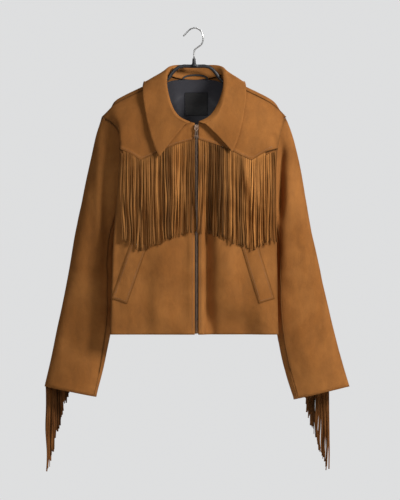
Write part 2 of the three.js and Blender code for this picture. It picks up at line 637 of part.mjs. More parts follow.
// ---------- fringe and pocket welts ----------
// The front fringe hangs from the yoke seam in front of the front.
for (const { side, sign, edge } of SIDES) {
  const grid = steps(4).map((v) => steps(12).map((u) => {
    const end = sign * (edgeOut(edge, -300) - CORNER_ROUND);
    const x = mix(closing(sign), end, u);
    const z = yokeEdge(sign, x) - 1 - FRINGE_LENGTH * v;
    return onFront(x, z, FRINGE_LIFT + FRINGE_DEPTH + FRINGE_FLARE * v);
  }));
  cloth(`fringe_front_${side}`, grid, FRINGE(), -sign, '', FRINGE_DEPTH);
}

// A sleeve's fringe hangs straight down from the hind-arm seam, over the back of the sleeve.
for (const { side, sign, sleeve } of SIDES) {
  const cuff = sleeve.length - 1;
  const grid = steps(4).map((v) => steps(6).map((u) => {
    const place = mix(cuff - SLEEVE_FRINGE_RISE / ROW_DROP, cuff, u);
    const seam = onSleeve(sign, sleeve, place, HIND_ANGLE[side], -HAND_TWIST[side]);
    const behind = seam.y + FRINGE_LIFT + FRINGE_DEPTH + FRINGE_SWING * Math.sqrt(v);
    return point(seam.x, behind, seam.z - SLEEVE_FRINGE_LENGTH[side] * v - 2);
  }));
  cloth(`fringe_sleeve_${side}`, grid, FRINGE(), sign, '', FRINGE_DEPTH);
}

// Slanted pocket welts, given by the middle of their top and bottom ends.
const WELT_WIDE = 36;
const WELT_THICK = 1.6;
const WELT_LIFT = 0.5; // between the welt and the front
const WELTS = {
  left: { topX: -120, topZ: -478, footX: -165.5, footZ: -608 },
  right: { topX: 122, topZ: -478, footX: 162, footZ: -608 },
};
for (const { side, sign } of SIDES) {
  const { topX, topZ, footX, footZ } = WELTS[side];
  const run = new THREE.Vector2(footX - topX, footZ - topZ).normalize();
  const grid = steps(6).map((v) => steps(3).map((u) => {
    const across = mix(-WELT_WIDE, WELT_WIDE, u) / 2 * sign;
    const x = mix(topX, footX, v) - run.y * across;
    const z = mix(topZ, footZ, v) + run.x * across;
    return onFront(x, z, WELT_THICK + WELT_LIFT);
  }));
  cloth(`welt_${side}`, grid, SUEDE(), -sign, '', WELT_THICK);
}

// ---------- zip ----------
const ZIP_TOP = -216;
const ZIP_FOOT = HEM_Z + 2;
const TAPE_WIDE = 13;
const TAPE_THICK = 0.9;
const TAPE_GAP = 0.4; // between the teeth and each tape
const TAPE_SINK = CLOTH + 1.2; // the tapes lie behind the fronts
const CHAIN_WIDE = 5.2;
const CHAIN_THICK = 2;
const zipDepth = (z) => onFront(ZIP_X, z).y;
const zipStrip = (fromX, toX, lift, top) => steps(12).map((v) => [fromX, toX].map((x) => {
  const z = mix(top, ZIP_FOOT, v);
  return point(x, zipDepth(z) - lift, z);
}));
for (const { side, sign } of SIDES) {
  const near = ZIP_X + sign * (CHAIN_WIDE / 2 + TAPE_GAP);
  const tape = zipStrip(near, near + sign * TAPE_WIDE, -TAPE_SINK, ZIP_TOP);
  cloth(`zip_tape_${side}`, tape, TAPE(), -sign, '', TAPE_THICK);
}
const CHAIN_TOP = ZIP_TOP - 14; // just under the slider
const chain = zipStrip(ZIP_X - CHAIN_WIDE / 2, ZIP_X + CHAIN_WIDE / 2, 0, CHAIN_TOP);
cloth('zip_chain', chain, ZIP_METAL(), -1, '', CHAIN_THICK);

// The slider: a shaped plate on the chain with a bridge that the pull's ring runs through.
const SLIDER_Z = ZIP_TOP - 6;
const SLIDER_TALL = 11;
const SLIDER_WIDE = 9;
const SLIDER_THICK = 3.4;
const SLIDER_LIFT = 0.6; // in front of the fronts
const SLIDER_WAIST = 1.6; // taken off each side at the foot
const SLIDER_ROUND = 2.4;
const SLIDER_SHOULDER = 3;
const BRIDGE_TALL = 8;
const BRIDGE_REACH = 4.6;
const BRIDGE_WALL = 1.2;
const BRIDGE_WIDE = 2.4;
const sliderBack = zipDepth(SLIDER_Z) - SLIDER_LIFT;
const halfWide = SLIDER_WIDE / 2;
const halfTall = SLIDER_TALL / 2;
const sliderOutline = new THREE.Shape();
sliderOutline.moveTo(-halfWide + SLIDER_WAIST, -halfTall);
sliderOutline.lineTo(halfWide - SLIDER_WAIST, -halfTall);
sliderOutline.lineTo(halfWide, halfTall - SLIDER_SHOULDER);
sliderOutline.quadraticCurveTo(halfWide, halfTall, halfWide - SLIDER_ROUND, halfTall);
sliderOutline.lineTo(-halfWide + SLIDER_ROUND, halfTall);
sliderOutline.quadraticCurveTo(-halfWide, halfTall, -halfWide, halfTall - SLIDER_SHOULDER);
sliderOutline.closePath();
const plate = { depth: SLIDER_THICK, bevelEnabled: false, curveSegments: 4 };
const slider = new THREE.ExtrudeGeometry(sliderOutline, plate);
slider.rotateX(Math.PI / 2);
slider.translate(ZIP_X, sliderBack, SLIDER_Z);
const BRIDGE_SINK = 0.6; // its feet stand in the plate
const BRIDGE_CHAMFER = 1.6;
const BRIDGE_INNER_CHAMFER = 1.2;
const bridgeHalf = BRIDGE_TALL / 2;
const bridgeOutline = new THREE.Shape([
  [-bridgeHalf, -BRIDGE_SINK],
  [-bridgeHalf + BRIDGE_WALL, -BRIDGE_SINK],
  [-bridgeHalf + BRIDGE_WALL, BRIDGE_REACH - BRIDGE_WALL - BRIDGE_INNER_CHAMFER],
  [-bridgeHalf + BRIDGE_WALL + BRIDGE_INNER_CHAMFER, BRIDGE_REACH - BRIDGE_WALL],
  [bridgeHalf - BRIDGE_WALL - BRIDGE_INNER_CHAMFER, BRIDGE_REACH - BRIDGE_WALL],
  [bridgeHalf - BRIDGE_WALL, BRIDGE_REACH - BRIDGE_WALL - BRIDGE_INNER_CHAMFER],
  [bridgeHalf - BRIDGE_WALL, -BRIDGE_SINK],
  [bridgeHalf, -BRIDGE_SINK],
  [bridgeHalf, BRIDGE_REACH - BRIDGE_CHAMFER],
  [bridgeHalf - BRIDGE_CHAMFER, BRIDGE_REACH],
  [-bridgeHalf + BRIDGE_CHAMFER, BRIDGE_REACH],
  [-bridgeHalf, BRIDGE_REACH - BRIDGE_CHAMFER],
].map(([along, out]) => new THREE.Vector2(along, out)));
const bridge = new THREE.ExtrudeGeometry(bridgeOutline, { depth: BRIDGE_WIDE, bevelEnabled: false });
bridge.translate(0, 0, -BRIDGE_WIDE / 2);
const upright = new THREE.Matrix4().makeBasis(point(0, 0, 1), point(0, -1, 0), point(1, 0, 0));
bridge.applyMatrix4(upright);
bridge.translate(ZIP_X, sliderBack - SLIDER_THICK, SLIDER_Z);
addMesh('zip_slider', joined(slider, bridge), ZIP_METAL());

// The pull: a ring through the bridge with an A-shaped frame under it, cut from one plate. It hinges
// on the ring's top, and hangs straight down.
const PULL_THICK = 1.2;
const RING_OUT = 4.6;
const RING_IN = 2.7;
const PULL_LONG = 25;
const PULL_FOOT = 5; // half the width at the foot
const PULL_LEG = 2;
const PULL_ARCH = 4; // the notch in the foot
const PULL_WINDOW = { top: -11.5, topHalf: 0.9, foot: -18.8, footHalf: 2.2 };
const pullAxis = point(ZIP_X, sliderBack - SLIDER_THICK - (BRIDGE_REACH - BRIDGE_WALL) / 2, SLIDER_Z);
const ringMiddle = -(RING_OUT + RING_IN) / 2;
const notchHalf = PULL_FOOT - PULL_LEG - 0.9;
const pullOutline = new THREE.Shape();
pullOutline.absarc(0, ringMiddle, RING_OUT, -Math.PI / 3, Math.PI * 4 / 3, false);
pullOutline.lineTo(-PULL_FOOT, -PULL_LONG);
pullOutline.lineTo(-PULL_FOOT + PULL_LEG, -PULL_LONG);
pullOutline.lineTo(-notchHalf, -PULL_LONG + PULL_ARCH);
pullOutline.lineTo(notchHalf, -PULL_LONG + PULL_ARCH);
pullOutline.lineTo(PULL_FOOT - PULL_LEG, -PULL_LONG);
pullOutline.lineTo(PULL_FOOT, -PULL_LONG);
pullOutline.closePath();
const ringHole = new THREE.Path();
ringHole.absarc(0, ringMiddle, RING_IN, 0, Math.PI * 2, true);
const frameHole = new THREE.Path();
frameHole.moveTo(-PULL_WINDOW.topHalf, PULL_WINDOW.top);
frameHole.lineTo(PULL_WINDOW.topHalf, PULL_WINDOW.top);
frameHole.lineTo(PULL_WINDOW.footHalf, PULL_WINDOW.foot);
frameHole.lineTo(-PULL_WINDOW.footHalf, PULL_WINDOW.foot);
frameHole.closePath();
pullOutline.holes.push(ringHole, frameHole);
const sheetMetal = { depth: PULL_THICK, bevelEnabled: false, curveSegments: 12 };
const pull = new THREE.ExtrudeGeometry(pullOutline, sheetMetal);
pull.rotateX(Math.PI / 2);
pull.translate(pullAxis.x, pullAxis.y + PULL_THICK / 2, pullAxis.z);
addMesh('zip_pull', pull, ZIP_METAL());

// ---------- hanger ----------
// The bar drops from its middle and then runs under the shoulders. The stem is joined to it.
const BAR_HALF_TALL = 3.4;
const BAR_HALF_DEEP = 4;
const BAR = [
  { out: 0, z: -84.4 },
  { out: 30, z: -84.6 },
  { out: 39, z: -89 },
  { out: 53, z: -105 },
  { out: 60, z: -115.5 },
  { out: 70, z: -120.5 },
  { out: 115, z: -138.8 },
  { out: 150, z: -158.2 },
  { out: 174, z: -173.5 },
];
const barArm = (sign, rows) => rows.map((row) => point(sign * row.out, 0, row.z));
const barLine = [...barArm(-1, BAR.slice(1).reverse()), ...barArm(1, BAR)];
const barSection = new THREE.Shape();
barSection.absellipse(0, 0, BAR_HALF_TALL, BAR_HALF_DEEP, 0, Math.PI * 2, false, 0);
const bar = new THREE.ExtrudeGeometry(barSection, {
  steps: 36,
  curveSegments: 5,
  bevelEnabled: false,
  extrudePath: new THREE.CatmullRomCurve3(barLine, false, 'centripetal'),
});
const STEM = [
  { radius: 0, z: -85 },
  { radius: 7, z: -85 },
  { radius: 6.2, z: -80.5 },
  { radius: 4.2, z: -78 },
  { radius: 3.6, z: -68 },
  { radius: 3, z: -66.6 },
  { radius: 0, z: -66.6 },
];
const stem = new THREE.LatheGeometry(STEM.map(({ radius, z }) => new THREE.Vector2(radius, z)), 20);
stem.rotateX(Math.PI / 2);
addMesh('hanger_bar', joined(bar, stem), HANGER_BLACK());

// The hook is one bent wire that stands in the stem.
const WIRE = 1.6;
const HOOK = [
  { x: 0, z: -66.2 },
  { x: 0, z: -57 },
  { x: 0.6, z: -49 },
  { x: 4.5, z: -44.5 },
  { x: 13, z: -38.5 },
  { x: 18.3, z: -32 },
  { x: 20.2, z: -20 },
  { x: 17.5, z: -8.5 },
  { x: 9.5, z: -0.8 },
  { x: 0, z: WIRE },
  { x: -8.5, z: -1.6 },
  { x: -24, z: -17 },
];
const hookLine = HOOK.map(({ x, z }) => point(x, 0, z));
const wireSection = new THREE.Shape();
wireSection.absarc(0, 0, WIRE, 0, Math.PI * 2);
const hook = new THREE.ExtrudeGeometry(wireSection, {
  steps: 40,
  curveSegments: 4,
  bevelEnabled: false,
  extrudePath: new THREE.CatmullRomCurve3(hookLine, false, 'centripetal'),
});
addMesh('hanger_hook', hook, STEEL());

const shared = sharedNormals();
clothPieces.forEach((piece) => wall(piece, shared));

export default jacket;
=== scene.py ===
import math

import bmesh
import bpy
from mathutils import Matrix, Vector, noise
from mathutils.bvhtree import BVHTree
from mathutils.kdtree import KDTree


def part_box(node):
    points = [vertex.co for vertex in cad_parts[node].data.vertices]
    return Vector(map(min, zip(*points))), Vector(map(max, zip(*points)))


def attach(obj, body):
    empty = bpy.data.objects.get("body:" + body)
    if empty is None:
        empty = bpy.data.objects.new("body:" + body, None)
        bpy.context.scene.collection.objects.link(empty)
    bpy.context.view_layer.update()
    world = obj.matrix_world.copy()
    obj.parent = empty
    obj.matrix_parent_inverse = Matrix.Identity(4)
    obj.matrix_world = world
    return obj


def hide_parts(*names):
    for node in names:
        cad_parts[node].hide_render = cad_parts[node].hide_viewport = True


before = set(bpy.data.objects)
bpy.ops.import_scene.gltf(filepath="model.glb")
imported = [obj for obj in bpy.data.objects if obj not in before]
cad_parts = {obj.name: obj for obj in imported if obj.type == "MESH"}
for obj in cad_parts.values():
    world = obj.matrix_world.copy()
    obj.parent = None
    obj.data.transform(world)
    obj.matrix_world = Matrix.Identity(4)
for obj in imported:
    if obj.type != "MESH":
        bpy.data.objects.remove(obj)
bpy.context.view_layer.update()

# ---------- hanger ----------
# A slim moulded bar with a satin black finish, and a bent steel wire hook that stands in its stem.
MM = 0.001


def new_piece(name, mesh, material, body="jacket"):
    """Puts a finished mesh in the scene and lets it move with its body."""
    piece = bpy.data.objects.new(name, mesh)
    bpy.context.scene.collection.objects.link(piece)
    mesh.materials.clear()
    mesh.materials.append(material)
    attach(piece, body)
    return piece


class Weave:
    """Builds a node tree a line at a time: each call adds a node and gives its first output."""

    def __init__(self, tree):
        self.tree = tree

    def add(self, kind, inputs=None, output=0, **settings):
        node = self.tree.nodes.new(kind)
        for key, value in settings.items():
            setattr(node, key, value)
        for key, value in (inputs or {}).items():
            socket = node.inputs[key]
            if isinstance(value, bpy.types.NodeSocket):
                self.tree.links.new(value, socket)
            else:
                socket.default_value = value
        return node if output is None else node.outputs[output]

    def math(self, operation, first, second=0.0, third=0.0):
        kind = "ShaderNodeMath"
        return self.add(kind, {0: first, 1: second, 2: third}, operation=operation)

    def blend(self, share, first, second, how="MIX"):
        """Mixes two colours."""
        return self.add(
            "ShaderNodeMix", {0: share, 6: first, 7: second}, 2, data_type="RGBA", blend_type=how)


def finish_material(name):
    """An empty material, its tree's builder and its surface shader."""
    material = bpy.data.materials.new(name)
    material.use_nodes = True
    tree = material.node_tree
    return material, Weave(tree), tree.nodes["Principled BSDF"]


def moulded_black():
    material, weave, surface = finish_material("moulded_black")
    place = weave.add("ShaderNodeTexCoord", output="Object")
    grain = weave.add("ShaderNodeTexNoise", {"Vector": place, "Scale": 1400.0, "Detail": 3.0})
    scuff = weave.add("ShaderNodeTexNoise", {"Vector": place, "Scale": 60.0, "Detail": 5.0})
    colour = weave.blend(scuff, (0.012, 0.012, 0.013, 1), (0.036, 0.036, 0.040, 1))
    weave.tree.links.new(colour, surface.inputs["Base Color"])
    rough = weave.add("ShaderNodeMapRange", {0: scuff, 1: 0.3, 2: 0.7, 3: 0.36, 4: 0.52})
    weave.tree.links.new(rough, surface.inputs["Roughness"])
    bump = weave.add(
        "ShaderNodeBump", {"Height": grain, "Strength": 0.12, "Distance": 0.08 * MM}, "Normal")
    weave.tree.links.new(bump, surface.inputs["Normal"])
    return material


def hook_wire():
    material, weave, surface = finish_material("hook_wire")
    place = weave.add("ShaderNodeTexCoord", output="Object")
    drawn = weave.add("ShaderNodeTexNoise", {"Vector": place, "Scale": 900.0, "Detail": 3.0})
    colour = weave.blend(drawn, (0.50, 0.50, 0.50, 1), (0.66, 0.66, 0.65, 1))
    weave.tree.links.new(colour, surface.inputs["Base Color"])
    rough = weave.add("ShaderNodeMapRange", {0: drawn, 1: 0.3, 2: 0.7, 3: 0.2, 4: 0.34})
    weave.tree.links.new(rough, surface.inputs["Roughness"])
    surface.inputs["Metallic"].default_value = 1.0
    return material


def rounded_copy(node):
    """A welded, smoothed copy of a long rounded CAD node."""
    solid = bmesh.new()
    solid.from_mesh(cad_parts[node].data)
    bmesh.ops.remove_doubles(solid, verts=solid.verts, dist=0.01 * MM)
    for face in solid.faces:
        face.smooth = True
    mesh = bpy.data.meshes.new(node + "_rounded")
    solid.to_mesh(mesh)
    solid.free()
    mesh.set_sharp_from_angle(angle=math.radians(50))
    return mesh


bar = new_piece("hanger_bar_moulded", rounded_copy("hanger_bar"), moulded_black())
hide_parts("hanger_bar")
hook = new_piece("hanger_hook_wire", rounded_copy("hanger_hook"), hook_wire())
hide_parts("hanger_hook")

# ---------- back ----------
# One wide panel of soft suede. It wraps over both shoulders to the shoulder seams and round both
# sides to the side seams, and its turned-up hem hangs free.
def smooth(value, start, end):
    """0 at start, 1 at end, and eased between."""
    share = min(1.0, max(0.0, (value - start) / (end - start)))
    return share * share * (3 - 2 * share)


def soft_folds(folds, across, up):
    """Depth in mm of soft folds at a place. A fold is its two ends, half width and depth."""
    depth = 0.0
    for (from_x, from_z), (to_x, to_z), half_width, deep in folds:
        run_x, run_z = to_x - from_x, to_z - from_z
        length = run_x * run_x + run_z * run_z
        share = ((across - from_x) * run_x + (up - from_z) * run_z) / length
        nearest = min(1.0, max(0.0, share))
        gap = math.hypot(across - from_x - nearest * run_x, up - from_z - nearest * run_z)
        fade = smooth(share, -0.1, 0.3) * smooth(1.1 - share, 0, 0.4)
        depth += deep * fade * math.exp(-((gap / half_width) ** 2))
    return depth


def cut_cloth(node, rounds, lay, open_edge=None, crease=1.0, meet=0.5):
    """Welds a copy of a CAD wall, rounds it between its seams, and lays its folds in.

    lay moves a point, given in mm. A sewn edge reaches out by meet to its neighbour. Points near a
    seam are pinched and remember how near they are, for the suede's painted shade along seams.
    """
    wall = bmesh.new()
    wall.from_mesh(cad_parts[node].data)
    bmesh.ops.remove_doubles(wall, verts=wall.verts, dist=0.02 * MM)
    bmesh.ops.join_triangles(
        wall, faces=wall.faces, angle_face_threshold=math.radians(60),
        angle_shape_threshold=math.radians(80))
    sharp = wall.edges.layers.float.new("crease_edge")
    on_rim = wall.verts.layers.float.new("rim")
    thin = 3.3 * MM
    rim_faces = [f for f in wall.faces if sum(e.calc_length() < thin for e in f.edges) >= 2]
    for face in rim_faces:
        for edge in face.edges:
            if edge.calc_length() >= thin:
                edge[sharp] = crease
            elif all(f in rim_faces for f in edge.link_faces) and edge.calc_face_angle(0) > 0.6:
                edge[sharp] = 1.0
        for vert in face.verts:
            vert[on_rim] = 1.0
    keen = wall.verts.layers.float.new("crease_vert")
    for vert in wall.verts:
        turns = [e for e in vert.link_edges if e[sharp] > 0 and e.calc_length() >= thin]
        if len(turns) == 2:
            ways = [(e.other_vert(vert).co - vert.co).normalized() for e in turns]
            if ways[0].angle(ways[1]) < math.pi - 0.5:
                vert[keen] = 1.0
    reach = {}
    for vert in wall.verts:
        inner = [v.co for f in vert.link_faces for v in f.verts if v[on_rim] < 0.5]
        sewn_here = vert[on_rim] > 0.5 and inner and not (open_edge and open_edge(*(vert.co / MM)))
        if sewn_here:
            middle = sum(inner, Vector()) / len(inner)
            reach[vert] = vert.co + (vert.co - middle).normalized() * meet * MM
    for vert, place in reach.items():
        vert.co = place
    mesh = bpy.data.meshes.new(node + "_cloth")
    wall.to_mesh(mesh)
    wall.free()
    rough = bpy.data.objects.new(node + "_rough", mesh)
    bpy.context.scene.collection.objects.link(rough)
    rounding = rough.modifiers.new("rounding", "SUBSURF")
    rounding.levels = rounding.render_levels = rounds
    drawn = bpy.data.meshes.new_from_object(
        rough.evaluated_get(bpy.context.evaluated_depsgraph_get()))
    bpy.data.objects.remove(rough)

    rim = drawn.attributes["rim"].data
    ends = [v.co for v in drawn.vertices if rim[v.index].value > 0.99]
    seams = [p for p in ends if open_edge is None or not open_edge(p.x / MM, p.y / MM, p.z / MM)]
    tree = KDTree(max(1, len(seams)))
    for index, place in enumerate(seams):
        tree.insert(place, index)
    tree.balance()
    # Painted shade: how near each point is to a seam, stored as the seam attribute, darkens the suede
    # there.
    painted_seam_shade = drawn.attributes.new("seam", "FLOAT", "POINT")
    moved = []
    for vert in drawn.vertices:
        distance = tree.find(vert.co)[2] / MM if seams else 99.0
        seam_shade_share = max(0.0, 1 - distance / 7) ** 2
        painted_seam_shade.data[vert.index].value = seam_shade_share
        pinch = -0.45 * max(0.0, 1 - distance / 4) ** 2
        place = vert.co / MM + vert.normal * pinch
        moved.append(Vector(lay(place.x, place.y, place.z)) * MM)
    for vert, place in zip(drawn.vertices, moved):
        vert.co = place
    drawn.attributes.remove(drawn.attributes["rim"])
    drawn.name = node + "_cloth"
    for face in drawn.polygons:
        face.use_smooth = True
    drawn.update()
    return drawn


def suede(name, deep, middle, pale, sheen, strips=False):
    """Brushed suede: cloudy nap, short brush marks, fine fibre grain and painted shade along the seams;
    strips also get painted light and shade.
    """
    material, weave, surface = finish_material(name)
    place = weave.add("ShaderNodeTexCoord", output="Object")
    cloud = weave.add(
        "ShaderNodeTexNoise",
        {"Vector": place, "Scale": 9.0, "Detail": 5.0, "Roughness": 0.6, "Distortion": 0.6})
    leaning = weave.add(
        "ShaderNodeMapping", {"Vector": place, "Rotation": (0, 0.6, 0), "Scale": (1, 1, 0.45)})
    brushed = weave.add(
        "ShaderNodeTexNoise",
        {"Vector": leaning, "Scale": 60.0, "Detail": 7.0, "Roughness": 0.68, "Distortion": 0.3})
    fibre = weave.add(
        "ShaderNodeTexNoise", {"Vector": place, "Scale": 800.0, "Detail": 4.0, "Roughness": 0.75})
    cloud_share = weave.add(
        "ShaderNodeMapRange", {0: cloud, 1: 0.32, 2: 0.68, 3: 0.0, 4: 1.0},
        interpolation_type="SMOOTHSTEP")
    colour = weave.blend(cloud_share, deep, pale)
    colour = weave.blend(0.5, colour, middle)
    marks = weave.add("ShaderNodeMapRange", {0: brushed, 1: 0.3, 2: 0.72, 3: 0.78, 4: 1.18})
    colour = weave.blend(0.7, colour, marks, "MULTIPLY")
    grain = weave.add("ShaderNodeMapRange", {0: fibre, 1: 0.3, 2: 0.7, 3: 0.84, 4: 1.15})
    colour = weave.blend(0.75, colour, grain, "MULTIPLY")
    # Painted shade: darker near the seams.
    seam_shade_share = weave.add("ShaderNodeAttribute", output="Fac", attribute_name="seam")
    shade = weave.math("SUBTRACT", 1.0, weave.math("MULTIPLY", seam_shade_share, 0.42))
    colour = weave.blend(1.0, colour, shade, "MULTIPLY")
    # Painted light and shade: each strip is made lighter or darker by its shade attribute.
    if strips:
        tone = weave.add("ShaderNodeAttribute", output="Fac", attribute_name="shade")
        tone = weave.add("ShaderNodeMapRange", {0: tone, 1: 0.0, 2: 1.0, 3: 0.30, 4: 1.3})
        colour = weave.blend(1.0, colour, tone, "MULTIPLY")
    weave.tree.links.new(colour, surface.inputs["Base Color"])
    matt = weave.add("ShaderNodeMapRange", {0: brushed, 1: 0.3, 2: 0.7, 3: 0.82, 4: 0.98})
    weave.tree.links.new(matt, surface.inputs["Roughness"])
    surface.inputs["Specular IOR Level"].default_value = 0.15
    surface.inputs["Sheen Weight"].default_value = sheen
    surface.inputs["Sheen Roughness"].default_value = 0.4
    surface.inputs["Sheen Tint"].default_value = (0.72, 0.36, 0.13, 1)
    height = weave.math("MULTIPLY_ADD", brushed, 2.0, fibre)
    bump = weave.add(
        "ShaderNodeBump", {"Height": height, "Strength": 0.4, "Distance": 0.6 * MM}, "Normal")
    weave.tree.links.new(bump, surface.inputs["Normal"])
    return material


jacket_suede = suede(
    "jacket_suede", (0.225, 0.083, 0.019, 1), (0.290, 0.112, 0.027, 1), (0.365, 0.150, 0.040, 1), 0.22)

BACK_FOLDS = [
    ((-70, -170), (-62, -560), 26, 4.5),
    ((78, -160), (66, -600), 30, 5.0),
    ((-6, -260), (-14, -680), 34, 3.5),
    ((-118, -230), (-104, -480), 20, 5.0),
    ((124, -240), (112, -520), 22, 4.5),
    ((-34, -420), (-40, -690), 18, -3.0),
    ((36, -380), (30, -690), 20, -3.5),
    ((-128, -560), (-60, -640), 18, 3.0),
    ((132, -590), (84, -650), 16, 3.0),
    ((-150, -210), (-90, -250), 14, 2.2),
    ((152, -205), (96, -262), 14, 2.2),
]


def back_depth(x, z):
    """How far the back hangs in from its even form, in mm."""
    depth = soft_folds(BACK_FOLDS, x, z)
    depth += 2.2 * noise.noise(Vector((x / 55, z / 120, 3.1)))
    return depth * smooth(-z, 135, 200)


def lay_back(x, y, z):
    """Hangs the back in soft upright folds, and leaves its seams where they are."""
    return x, y - back_depth(x, z) * smooth(y, 16, 40), z


def on_hem(x, y, z):
    return z < -681.5


back_cloth = new_piece("back_panel", cut_cloth("back", 2, lay_back, on_hem), jacket_suede)
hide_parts("back")

# ---------- fronts and yokes ----------
# Each front is one panel with a folded edge at the closing and a turned-up hem. Its side folds round
# to the side seam and armhole. A yoke with a pointed lower edge is sewn on over it, and the fringe is
# caught in between.
ZIP_X = 5.5
FRONT_FOLDS = [
    # right front: the trough beside the closing and the soft pipes beside it
    ((25, -330), (27, -740), 17, 22.0),
    ((74, -470), (82, -640), 24, -5.0),
    ((112, -420), (104, -640), 24, 3.5),
    ((146, -500), (150, -700), 16, -3.0),
    ((56, -640), (128, -664), 22, 4.0),
    ((176, -236), (180, -262), 9, 2.5),
    ((150, -190), (120, -262), 16, 2.0),
    # left front
    ((-22, -420), (-30, -700), 16, 2.5),
    ((-74, -440), (-70, -690), 26, -3.5),
    ((-116, -520), (-104, -700), 20, 3.5),
    ((-166, -300), (-168, -640), 12, 2.0),
    ((-138, -200), (-112, -256), 16, 2.4),
    ((-92, -200), (-60, -262), 16, 2.6),
    ((-40, -560), (-66, -640), 18, 2.0),
]


def front_depth(x, z):
    """How far the front hangs in from its even form, in mm."""
    depth = soft_folds(FRONT_FOLDS, x, z)
    depth += 1.8 * noise.noise(Vector((x / 60, z / 110, 8.4)))
    depth += 24 * smooth(-z, 606, 692) * smooth(x, 20, 46) * smooth(170 - x, 0, 60)
    depth += 6 * smooth(-z, 640, 690) * smooth(-x, 10, 60) * smooth(180 + x, 0, 60)
    calm = smooth(abs(x - ZIP_X), 14, 22)
    below_collar = smooth(-z, 120, 190)
    return depth * calm * below_collar


def lay_front(x, y, z):
    facing = smooth(-y, 6, 40)
    return x, y + front_depth(x, z) * facing, z


def top_line(node):
    """Upper edge of a hanging CAD slab, as points in mm from left to right."""
    highest = {}
    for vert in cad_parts[node].data.vertices:
        x, y, z = vert.co / MM
        key = round(x)
        near = next((k for k in (key - 1, key, key + 1) if k in highest), key)
        if near not in highest or z > highest[near][2] + 0.2:
            highest[near] = (x, y, z)
    return [highest[k] for k in sorted(highest)]


yoke_hem = {side: top_line("fringe_front_" + side) for side in ("left", "right")}


def height_on(line, x):
    """Height of a line of points at x, in mm."""
    for (x0, _, z0), (x1, _, z1) in zip(line, line[1:]):
        if x <= x1:
            return z0 + (z1 - z0) * (x - x0) / (x1 - x0)
    return line[-1][2]


def lay_yoke(side):
    def lay(x, y, z):
        """The yoke follows the front and its lower edge stands up over the fringe."""
        facing = smooth(-y, 6, 40)
        over = z - height_on(yoke_hem[side], x)
        lip = 2.4 * smooth(11 - over, 0, 9) * facing * smooth(188 - abs(x), 0, 26)
        return x, y + front_depth(x, z) * facing - lip, z
    return lay


def on_front_fold(x, y, z):
    return z < -681.5 or abs(x - ZIP_X) < 5


front_cloth = {}
# width, length and area of each yoke laid flat
YOKE_CUTS = {"left": (0.195, 0.154, 0.0217), "right": (0.220, 0.154, 0.0233)}
for side in ("left", "right"):
    panel = cut_cloth("front_" + side, 3, lay_front, on_front_fold)
    front_cloth[side] = new_piece("front_panel_" + side, panel, jacket_suede)
    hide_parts("front_" + side)
    panel = cut_cloth("yoke_" + side, 3, lay_yoke(side), on_front_fold)
    yoke_cloth = new_piece("yoke_panel_" + side, panel, jacket_suede)
    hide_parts("yoke_" + side)
    wide, long, area = YOKE_CUTS[side]

# ---------- sleeves ----------
# Each sleeve is a top and an under piece, sewn together at the front of the forearm and along the
# hind arm, where the fringe is caught in. They hang in long soft folds from the armhole.
SLEEVE_FOLDS = {
    "left": [
        ((-211, -236), (-212, -500), 12, -5.0),
        ((-196, -300), (-194, -640), 14, 5.0),
        ((-226, -470), (-246, -640), 18, 2.5),
        ((-262, -560), (-286, -740), 20, 2.5),
        ((-236, -640), (-262, -790), 16, -2.5),
        ((-190, -520), (-230, -560), 13, 2.2),
        ((-300, -700), (-250, -730), 14, 2.0),
    ],
    "right": [
        ((218, -236), (210, -420), 12, -4.0),
        ((198, -246), (190, -430), 9, 14.0),
        ((190, -330), (184, -560), 12, 5.0),
        ((224, -420), (248, -640), 20, 2.5),
        ((262, -520), (300, -740), 22, 2.5),
        ((230, -620), (262, -790), 18, -2.5),
        ((190, -560), (226, -610), 13, 2.4),
        ((262, -690), (316, -726), 14, 2.0),
        ((238, -290), (222, -330), 12, 1.8),
    ],
}
HIND_FOLDS = {
    "left": [((-200, -430), (-262, -640), 16, 4.0), ((-232, -620), (-290, -790), 18, -3.0)],
    "right": [((205, -420), (258, -650), 16, 4.0), ((236, -600), (300, -790), 18, -3.0)],
}


def sleeve_middle(side):
    """The middle of a sleeve at any height, as x and y in mm, read from its two pieces."""
    rows = {}
    for part in ("top", "under"):
        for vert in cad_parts["sleeve_%s_%s" % (side, part)].data.vertices:
            x, y, z = vert.co / MM
            rows.setdefault(round(z / 40), []).append((x, y))
    table = {}
    for row, places in rows.items():
        xs, ys = [p[0] for p in places], [p[1] for p in places]
        table[row] = ((min(xs) + max(xs)) / 2, (min(ys) + max(ys)) / 2)

    def middle(z):
        row = min(max(z / 40, min(table)), max(table))
        low = math.floor(row)
        share = row - low
        a, b = table[low], table.get(low + 1, table[low])
        return a[0] + (b[0] - a[0]) * share, a[1] + (b[1] - a[1]) * share
    return middle


def lay_sleeve(side):
    middle = sleeve_middle(side)

    def lay(x, y, z):
        """Moves both layers in or out from the sleeve's middle, and leaves the armhole alone."""
        mid_x, mid_y = middle(z)
        away = Vector(((x - mid_x) * 0.35, y - mid_y))
        away.normalize()
        from_top = min(abs(z + 200), 400)
        hang = smooth(from_top, 12, 70) * smooth(abs(x), 168, 192)
        folds = SLEEVE_FOLDS if y < mid_y else HIND_FOLDS
        depth = soft_folds(folds[side], x, z) * smooth(abs(y - mid_y), 2, 14)
        depth += 2.2 * noise.noise(Vector((x / 50, z / 95, 5.7 if y < mid_y else 9.2)))
        depth *= hang
        return x - away.x * depth, y - away.y * depth, z
    return lay


def on_cuff(x, y, z):
    return z < -715 - 0.25 * abs(x)


